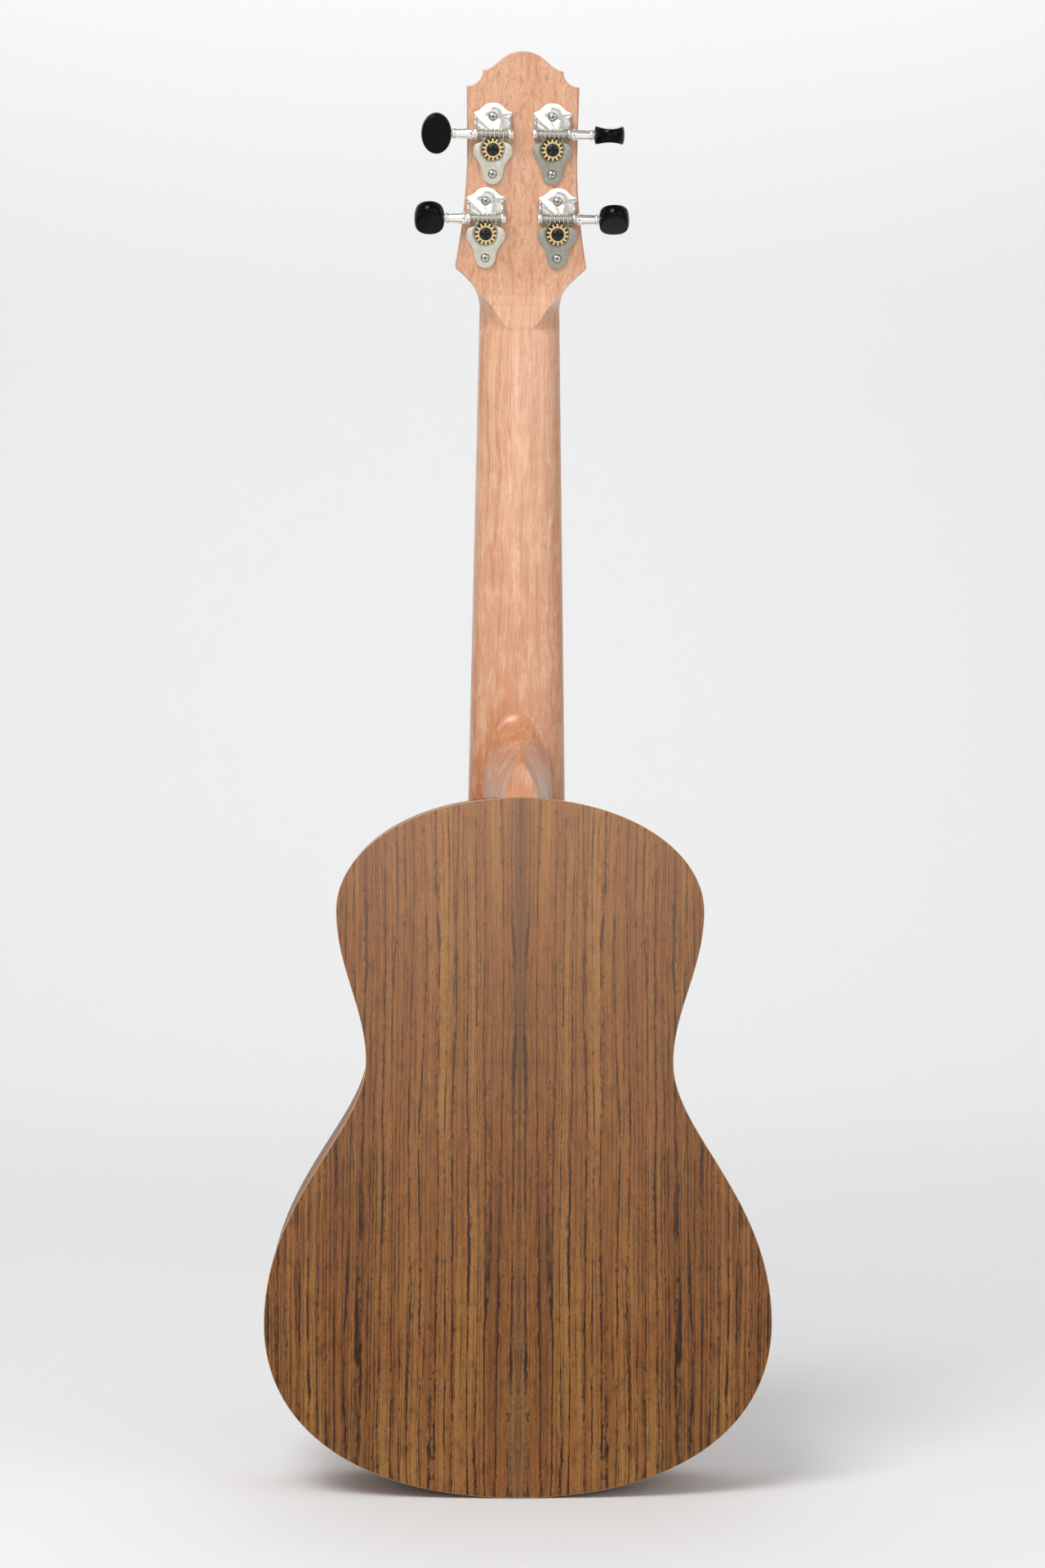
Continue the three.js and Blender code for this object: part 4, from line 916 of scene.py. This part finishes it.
def head_stations():
    """(half width, height up the tilted face) from the nut to the crown."""
    flare = bezier((NUT_HALF, -5.3), (17.45, 2.4), (20.8, 7.9), (27.7, 13.3), 16)[1:]
    side = bezier((28.2, 14.5), (24.9, 31.9), (23.3, 50), (23.5, 62), 14)
    turns = (-pi / 2 * (1 + k / 10) for k in range(11))
    notch = [(23.9 + 6.9 * cos(a), 96.8 + 6.5 * sin(a)) for a in turns]
    dome = bezier((16.6, 97), (11.1, 97.6), (8.9, 105), (0.25, 105), 22)
    return [*[p for p, _ in flare], *[p for p, _ in side], (23.9, 89.9), *notch, *[p for p, _ in dome]]


def section(half, front, depth, lean, z):
    """A closed section, from the right front corner round the back to the left one.

    Over the run-out a flat that widens upwards, creased along both sides, takes the place of the round back.
    """
    edge = min(0.7, half * 0.9)
    carved = ease((z - RUN_ROUND) / (RUN_START - RUN_ROUND))
    squared = ease((z - RUN_SQUARE) / SQUARE_OVER)
    widening = RUN_HALF + RUN_SLOPE * max(0.0, z - RUN_START)
    flat_half = mix(min(widening, half - edge), half - edge, squared)
    flank_depth = mix(depth - 1.4, edge, squared)
    back = (front[0] - depth * cos(lean), front[1] - depth * sin(lean))
    right = [(half, 0.0)]
    steps = 16
    for i in range(steps + 1):
        a = pi / 2 * i / steps
        round_x = half * mix(1, max(0.0, cos(a)) ** (2 / 2.15), 0.995)
        round_up = (depth - 1.4) * (1 - sin(a) ** (2 / 2.15))
        flank_x = mix(half, flat_half, i / steps)
        flank_up = flank_depth * (1 - sin(FLANK * i / steps) / sin(FLANK))
        right.append((mix(round_x, flank_x, carved), (depth - mix(round_up, flank_up, carved)) / depth))
    points = [(x, mix(front[0], back[0], t), mix(front[1], back[1], t)) for x, t in right]
    return points + [(-x, y, z) for x, y, z in reversed(points)]


def heel_mesh():
    """Arches that drop from the neck to the flat cap, their ridge running into the neck's crest."""
    bottom, crest = back_y(LENGTH) + 0.15, FRONT_Y - 16.2
    levels = []
    for i in range(-1, 30):
        t = max(0, i / 29) ** 1.5
        hollow = mix(1 - t, 1 - sqrt(1 - (1 - t) ** 2), 0.75)
        y = mix(crest, bottom, t) if i >= 0 else 24.0
        half, rise = mix(6.8, 15.0, (1 - t) ** 1.3), mix(14.5, 38.0, hollow)
        power = 2 / mix(2.0, 1.4, min(1, 2 * t))
        arch = []
        for j in range(41):
            c, v = cos(pi * j / 40), max(0.0, sin(pi * j / 40))
            arch.append((half * copysign(abs(c) ** power, c), y, LENGTH + rise * v**power))
        foot = [(half * mix(-1, 1, k / 8), y) for k in range(9)]
        levels.append(arch + [(x, yy, end_z(x) + GAP) for x, yy in foot])
    return skin("neck_heel", levels)


def make_neck():
    depth_at = lambda z: mix(16.2, 14.0, (z - LENGTH) / (NUT_Z - LENGTH))
    rings = []
    first = section(board_half(LENGTH), (FRONT_Y, LENGTH), depth_at(LENGTH), 0.0, LENGTH)
    rings.append([(x, y, end_z(x) + GAP) for x, y, z in first])
    heights = [mix(LENGTH + 3, RUN_ROUND, i / 10) for i in range(10)]
    heights += [mix(RUN_ROUND, NUT_Z, i / 16) for i in range(17)]
    rings += [section(board_half(z), (FRONT_Y, z), depth_at(z), 0.0, z) for z in heights]
    for half, v in head_stations():
        bend = ease((v + 12) / 24)
        front = (FRONT_Y, HEAD_Z + v) if v < 0 else on_head(v)
        rings.append(section(half, front, mix(14.0, HEAD_THICK, bend), TILT * bend, HEAD_Z + v))
    mesh = combined(skin("neck_shaft", rings), [heel_mesh()])
    bores = [placed(cylinder(4.12, -30, 10, 32), machine_matrix(x, v, 0)) for x, v, _ in TUNERS.values()]
    mesh = combined(mesh, cut=bores)
    add("neck_carved", mesh, "neck", ["neck"], sharp=24)


def machine_matrix(x, v, y):
    """The frame of a tuning machine: X across, Y out of the headstock's face, Z up it. y is its height."""
    yy, zz = on_head(v, y)
    return shift(x, yy, zz) @ Matrix.Rotation(TILT, 4, "X")


def make_fretboard():
    low, top, chamfer = FRONT_Y + GAP, FRONT_Y + BOARD_THICK, 0.25
    rings = []
    for z in (fret_z(FRETS) - 3, NUT_Z):
        h = board_half(z)
        left = [(-h, low, z), (-h, top - chamfer, z), (-h + chamfer, top, z)]
        rings.append([(h, low, z), *left, (h - chamfer, top, z), (h, top - chamfer, z)])
    board = skin("fretboard_board", rings)
    add("fretboard_board", board, "dark", ["fretboard"], sharp=30)
    for n in range(1, FRETS + 1):
        z = fret_z(n)
        h = board_half(z) - 0.15
        rows = []
        for across in (-1.0, 0.0, 1.0):
            # The crown's ends slope in, so a fret is shorter at its top.
            row = []
            for k in range(15):
                a = pi * k / 14
                row.append((across * (h - 0.7 * sin(a)), top + 1.0 * sin(a) ** 0.8, z - cos(a)))
            rows.append(row + [(row[-1][0], top - 0.3, z + 1.0), (row[0][0], top - 0.3, z - 1.0)])
        name = "fret_%02d" % n
        add(name, skin(name, rows), "fret", sharp=50)

    def between_frets(n):
        return (fret_z(n) + fret_z(n - 1)) / 2

    profile = [(0, top - 0.5), (2.5, top - 0.5), (2.5, top + 0.015), (2.42, top + 0.04), (0, top + 0.045)]
    for i, (n, x) in enumerate([(5, 0), (7, 0), (10, 0), (12, -7.5), (12, 7.5), (15, 0)]):
        mesh = placed(lathe("dot", profile, 36), shift(x, 0, between_frets(n)))
        add("position_dot_%d" % (i + 1), mesh, "pearl")
    for i, n in enumerate((5, 7, 10, 12)):
        h = board_half(between_frets(n))
        mesh = lathe("side_dot", [(0, h - 0.5), (1.0, h - 0.5), (1.0, h + 0.01), (0, h + 0.03)], 20, "X")
        placed(mesh, shift(0, FRONT_Y + 2.6, between_frets(n)))
        add("side_dot_%d" % (i + 1), mesh, "pearl")


# ---- strings


def string_route(key):
    r, nut_x, saddle_x = STRINGS[key]
    x, v, _ = TUNERS[key]
    side = 1 if x > 0 else -1
    inside = x - side * (POST_WAIST + r + 0.25)
    yy, zz = on_head(v, WIND_FROM)
    lift = r + GAP
    hole_y = FRONT_Y + 3.6
    nut_top = FRONT_Y + 6.6 - 0.55  # the floor of the nut's slots
    return [
        (saddle_x, hole_y, 99.0),
        (saddle_x, hole_y, 113.8),
        (saddle_x, 44.4 + lift, SADDLE_Z - 0.9),
        (nut_x, nut_top + lift, NUT_Z + 0.4),
        (mix(nut_x, inside, 0.04), nut_top + lift - 0.25, NUT_Z + 2),
        (inside, yy, zz),
    ]


def make_strings():
    for key, (r, _, _) in STRINGS.items():
        corners = string_route(key)
        route = [corners[0]]
        for before, at, after in zip(corners, corners[1:], corners[2:]):
            for t in (0.0, 0.5, 1.0):
                back = min(0.6 / dist(before, at), 0.45)
                ahead = min(0.6 / dist(at, after), 0.45)
                p = [mix(q, w, back) for q, w in zip(at, before)]
                n = [mix(q, w, ahead) for q, w in zip(at, after)]
                route.append(tuple(mix(mix(a, m, t), mix(m, b, t), t) for a, m, b in zip(p, at, n)))
        route.append(corners[-1])
        name = "string_%s_line" % key
        add(name, tube(name, route, r, 12), "nylon", ["string_" + key])
        make_winding(key)
        make_tie(key)


def make_winding(key):
    """The turns of a string round its post, which turn with the post."""
    r = STRINGS[key][0]
    x, v, _ = TUNERS[key]
    side = 1 if x > 0 else -1
    turns = 3.2
    count = int(turns * 20)
    around = POST_WAIST + r + 0.03
    route = []
    for k in range(count + 1):
        wound = 2 * pi * turns * k / count
        a = pi + wound if side > 0 else -wound
        y = WIND_FROM + (2 * r + 0.08) * turns * k / count
        route.append((around * cos(a), y, around * sin(a)))
    name = "string_%s_winding" % key
    mesh = tube(name, route, r, 10)
    add(name, mesh, "nylon", (), "tuner_%s_spindle" % key, machine_matrix(x, v, 0))


def make_tie(key):
    """The string's knot behind the tie block: a loop over the block and a twist under itself."""
    r, _, x = STRINGS[key]
    base = FRONT_Y
    top = base + 7.2 + r + 0.05
    loop = [
        (0.0, base + 3.6, 102.2), (0.3, base + 3.8, 101.3), (0.7, base + 5.4, 101.1), (0.9, base + 7.4, 102.6),
        (0.9, top, 104.6), (0.8, top, 108.5), (0.6, top, 112.0), (0.2, top - 0.3, 113.6),
        (-0.5, base + 6.0, 114.4), (-1.0, base + 5.0, 114.7), (-1.5, base + 6.6, 114.2), (-1.6, top, 112.6),
        (-1.2, top, 109.8), (-0.2, top + 1.7 * r, 108.6), (1.4, top + 1.5 * r, 107.6), (2.6, top, 106.8),
        (4.6, top, 106.2),
    ]
    loop = [(x + across, y, z) for across, y, z in loop]
    name = "string_%s_tie" % key
    add(name, tube(name, smoothed(loop, 5), r, 8), "nylon")


# ---- tuning machines


def plate_outline():
    top, bottom = 19.3, 14.8
    head = [(0, 0), (1.7, 0.15), (3.4, 0.95), (4.9, 2.35), (6.3, 3.35), (7.5, 3.75), (8.15, 4.3),
            (8.2, 5.0), (7.7, 5.5), (7.15, 6.3), (7.0, 8.0)]
    tulip = [(7.0, 5.6), (6.3, 4.9), (4.6, 4.4), (4.5, 3.3), (5.6, 2.7), (7.2, 2.1), (8.2, 0.7), (8.4, -0.9),
             (8.1, -2.5), (6.9, -4.2), (5.7, -5.9), (4.9, -7.8), (4.5, -9.8), (4.1, -11.6), (3.2, -13.3),
             (1.8, -14.4), (0, -bottom)]
    return mirrored(smoothed([(x, top - down) for x, down in head], 3) + smoothed(tulip, 3))


def mesh_baseplate():
    ears = []
    for hand in (-1, 1):
        # The folded ear runs from under the shoulder of the plate to the eye that holds the worm.
        turns = [radians(d) for d in range(-10, 151, 10)]
        eye = [(WORM_V - 2.9 * cos(a), -WORM_N - 2.9 * sin(a)) for a in turns]
        slope = [(11.0, -4.0), (12.3, -3.1), (13.2, -2.2), (13.6, -0.8)]
        ear = [(5.6, -0.3), (WORM_V - 2.6, -2.2), *eye, *slope, (13.6, -0.3)]
        blank = prism("ear", ear, hand * EAR_AT, hand * (EAR_AT + BASE_THICK), lambda a, b, h: (h, b, a))
        bore = cylinder(1.98, -12, 12, 28, (0, -WORM_N, WORM_V), "X")
        slot = cylinder(0.75, -12, 12, 20, (0, -1.35, 11.5), "X")
        ears.append(combined(blank, cut=[bore, slot]))
    bores = ((3.3, 0.0), (1.25, SCREW_UP), (1.25, SCREW_DOWN))
    holes = [cylinder(r, -3, 2, 28, (0, 0, z)) for r, z in bores]
    return softened(combined(prism("blank", plate_outline(), 0, -BASE_THICK), ears, holes), 0.16, 40)


def mesh_worm_shaft(hand):
    profile = [
        (0, -8.8), (1.0, -8.78), (1.6, -8.65), (2.2, -8.4), (2.3, -8.2), (2.3, -7.95), (1.9, -7.92),
        (1.9, -6.4), (1.55, -6.1), (1.55, 6.1), (1.9, 6.4), (1.9, 8.0), (2.55, 8.0), (2.7, 8.12), (2.7, 8.95),
        (2.55, 9.1), (2.35, 9.35), (2.28, 10.4), (2.18, 12.6), (2.06, 14.8), (2.0, 15.9), (2.1, 16.02),
        (2.28, 16.15), (2.35, 16.5), (2.35, 16.95), (2.25, 17.1), (1.5, 17.25), (1.5, 23.5), (0, 23.5),
    ]
    shaft = lathe("shaft", [(r, hand * h) for r, h in profile], 32, "X")
    rings = []
    steps, turns = 24, 5.6
    ridge = ((1.3, 0.47), (1.62, 0.4), (2.45, 0.21), (2.62, 0.12))
    for i in range(int(turns * steps) + 1):
        turn = i / steps - turns / 2
        a = 2 * pi * turn + pi / 2
        fade = min(1.0, (turns / 2 - abs(turn)) / 0.35)
        ring = []
        for r, dx in [(r, -w) for r, w in ridge] + [(r, w) for r, w in reversed(ridge)]:
            r = mix(1.35, r, fade) if r > 1.35 else r
            ring.append((turn * WORM_PITCH + dx, r * cos(a), r * sin(a)))
        rings.append(ring)
    return combined(shaft, [skin("thread", rings)])


def mesh_gear():
    low, high = GEAR_LOW, GEAR_HIGH
    twist = WORM_PITCH / (2 * pi * WORM_R) / GEAR_R
    flank = [(3.42, 0.56), (3.55, 0.47), (4.1, 0.4), (4.55, 0.33), (4.72, 0.24)]
    tooth = [(r, -w) for r, w in flank] + [(4.75, 0.0)] + flank[::-1]
    rings = []
    worn = 0.12
    levels = ((low, worn), (low + worn, 0.0), (mix(low, high, 0.5), 0.0), (high - worn, 0.0), (high, worn))
    for n, ease_in in levels:
        y = -n
        lean = twist * (y + WORM_N)
        ring = []
        for i in range(TEETH):
            centre = 2 * pi * i / TEETH + lean
            for r, w in tooth:
                a = centre + w / r
                ring.append(((r - ease_in) * sin(a), y, (r - ease_in) * cos(a)))
        rings.append(ring)
    wheel = skin("wheel", rings)
    hole = prism("square", rectangle(1.63, 1.63), -10, 0)
    above, floor = -high - 1, -high + 0.15
    groove = lathe("groove", [(2.95, above), (3.25, above), (3.2, floor), (3.0, floor)], 48)
    return combined(wheel, cut=[hole, groove])


def mesh_post():
    t = HEAD_THICK
    top = t + 12.0
    profile = [
        (0, -2.74), (2.9, -2.74), (3.0, -2.64), (3.0, t + 2.0), (2.92, t + 2.3), (2.68, t + 2.7),
        (POST_WAIST, t + 3.1), (POST_WAIST, t + 8.5), (2.68, t + 8.9), (2.92, t + 9.3), (3.0, t + 9.6),
        (3.0, top - 0.7), (2.9, top - 0.35), (2.6, top - 0.1), (2.2, top), (0.9, top), (0.6, top - 0.25),
        (0, top - 0.3),
    ]
    tenon = prism("tenon", rectangle(1.55, 1.55), -5.3, -2.3)
    holes = [cylinder(0.9, -6, 6, 20, (0, t + 7.4, 0), "X"), cylinder(1.0, -8, -0.6, 24)]
    return softened(combined(lathe("post", profile, 40), [tenon], holes), 0.08, 50)


def mesh_screw(head_r, head, shank, length, slot, depth, seat, segments=40):
    """A cross-recess screw along Y. seat is the height where its head rests."""
    top = seat - head
    profile = [(0, top), (head_r * 0.35, seat - head * 0.985)]
    for k in range(1, 9):
        a = pi / 2 * k / 8
        profile.append((head_r * (0.35 + 0.65 * sin(a) ** 0.9), seat - head * (0.15 + 0.835 * cos(a))))
    profile += [(head_r, seat), (shank, seat)]
    for k in range(int(length / 0.7)):
        h = seat + 0.5 + k * 0.62
        if h > seat + length - 1.4:
            break
        profile += [(shank * 0.8, h), (shank, h + 0.31)]
    profile += [(shank * 0.7, seat + length - 1.1), (0, seat + length)]
    cuts = []
    arm = head_r * 0.6
    for a, b in ((arm, slot / 2), (slot / 2, arm)):
        levels = ((1.06, top - 1), (1.0, top + depth * 0.3), (0.62, top + depth))
        rings = [[(x * k, y, z * k) for x, z in rectangle(a, b)] for k, y in levels]
        cuts.append(skin("cross", rings))
    return combined(lathe("screw", profile, segments), cut=cuts)


def mesh_bushing():
    seat = HEAD_THICK + GAP
    rises = [(3.09, -8), (4.0, -8), (4.0, 0), (4.9, 0), (4.9, 0.25), (4.8, 0.5), (4.5, 0.75), (3.9, 0.92),
             (3.5, 1.0), (3.2, 0.96), (3.09, 0.8)]
    return lathe("bushing", [(r, seat + rise) for r, rise in rises], 48)


def mesh_button():
    """An oval slab whose two faces are dished along the shaft, with a soft rim."""
    length, half, thick, dish = BUTTON_LONG, 8.75, 8.3, 1.2
    rows, around, flat = 20, 56, 0.86
    # From the middle of one face, over the rim, to the middle of the other.
    levels = [(k / rows * flat, 1.0) for k in range(1, rows + 1)]
    levels += [(flat + 0.14 * sin(a), cos(a)) for a in (pi / 2 * k / 8 for k in range(1, 9))]
    rings = []
    for s, h in levels + [(s, -h) for s, h in reversed(levels[:-1])]:
        ring = []
        for k in range(around):
            a = 2 * pi * k / around
            x, w = s * length / 2 * cos(a), s * half * sin(a)
            crown = thick / 2 - dish * (1 - (x / (length / 2)) ** 2)
            edge = 0.3 * max(0.0, abs(w) / half) ** 3
            ring.append((x, w, h * (crown - edge)))
        rings.append(ring)
    verts = [p for ring in rings for p in ring]
    faces = bands(rings)
    for start, level in ((0, 1), (len(verts) - around, -1)):
        middle = len(verts)
        verts.append((0, 0, level * (thick / 2 - dish)))
        faces += [(start + j, start + (j + 1) % around, middle) for j in range(around)]
    return mesh_of("button", verts, faces)


def make_tuners():
    shared = {
        "baseplate": mesh_baseplate(),
        "gear": mesh_gear(),
        "post": mesh_post(),
        "bushing": mesh_bushing(),
        "gear_screw": mesh_screw(2.75, 1.5, 0.9, 4.2, 0.62, 0.8, -GEAR_HIGH - GAP),
        "screw": mesh_screw(1.65, SCREW_HEAD, 0.9, 7.0, 0.42, 0.5, -BASE_THICK - GAP, 28),
        "button": mesh_button(),
    }
    for key, (x, v, turn) in TUNERS.items():
        hand = 1 if x > 0 else -1
        tuner = "tuner_%s_" % key
        machine = machine_matrix(x, v, -HEAD_THICK - GAP)
        drive = machine @ shift(0, -WORM_N, WORM_V)
        upright = Matrix.Rotation(pi / 2 + radians(turn), 4, "X")
        knob = drive @ shift(hand * (STUB_FROM + BUTTON_LONG / 2), 0, 0) @ upright
        drive_body, spindle = tuner + "drive", tuner + "spindle"

        def put(part, look, body, matrix, mesh=None, sharp=35.0):
            piece = (mesh or shared[part]).copy()
            add(tuner + part + "_piece", piece, look, [tuner + part], body, matrix, sharp)

        put("baseplate", "plate_right" if hand > 0 else "plate_left", ROOT, machine)
        put("worm_shaft", "worm", drive_body, drive, mesh_worm_shaft(hand))
        put("button", "button", drive_body, knob, sharp=60)
        put("gear", "brass", spindle, machine)
        put("post", "nickel", spindle, machine)
        put("gear_screw", "black_screw", spindle, machine)
        put("bushing", "nickel", ROOT, machine)
        for part, z, angle in (("screw_upper", SCREW_UP, 31.0), ("screw_lower", SCREW_DOWN, 64.0)):
            turned = Matrix.Rotation(radians(angle + 17 * x), 4, "Y")
            put(part, "screw", ROOT, machine @ shift(0, 0, z) @ turned, shared["screw"])


make_back()
make_top()
make_sides()
make_neck()
make_fretboard()
make_strings()
make_tuners()

carried("nut", "bone", width=0.12)
carried("saddle", "bone", width=0.25)
carried("bridge", "dark", width=0.3)
for node in ("neck_block", "tail_block", "bridge_plate"):
    carried(node, "pale", width=0.3)
for place in ("upper", "middle", "lower"):
    carried("back_brace_" + place, "pale", width=0.3)
for face in ("top", "back"):
    carried(face + "_lining", "pale")
for node in ("top_brace_upper", "top_brace_lower"):
    carried(node, "spruce", width=0.4)
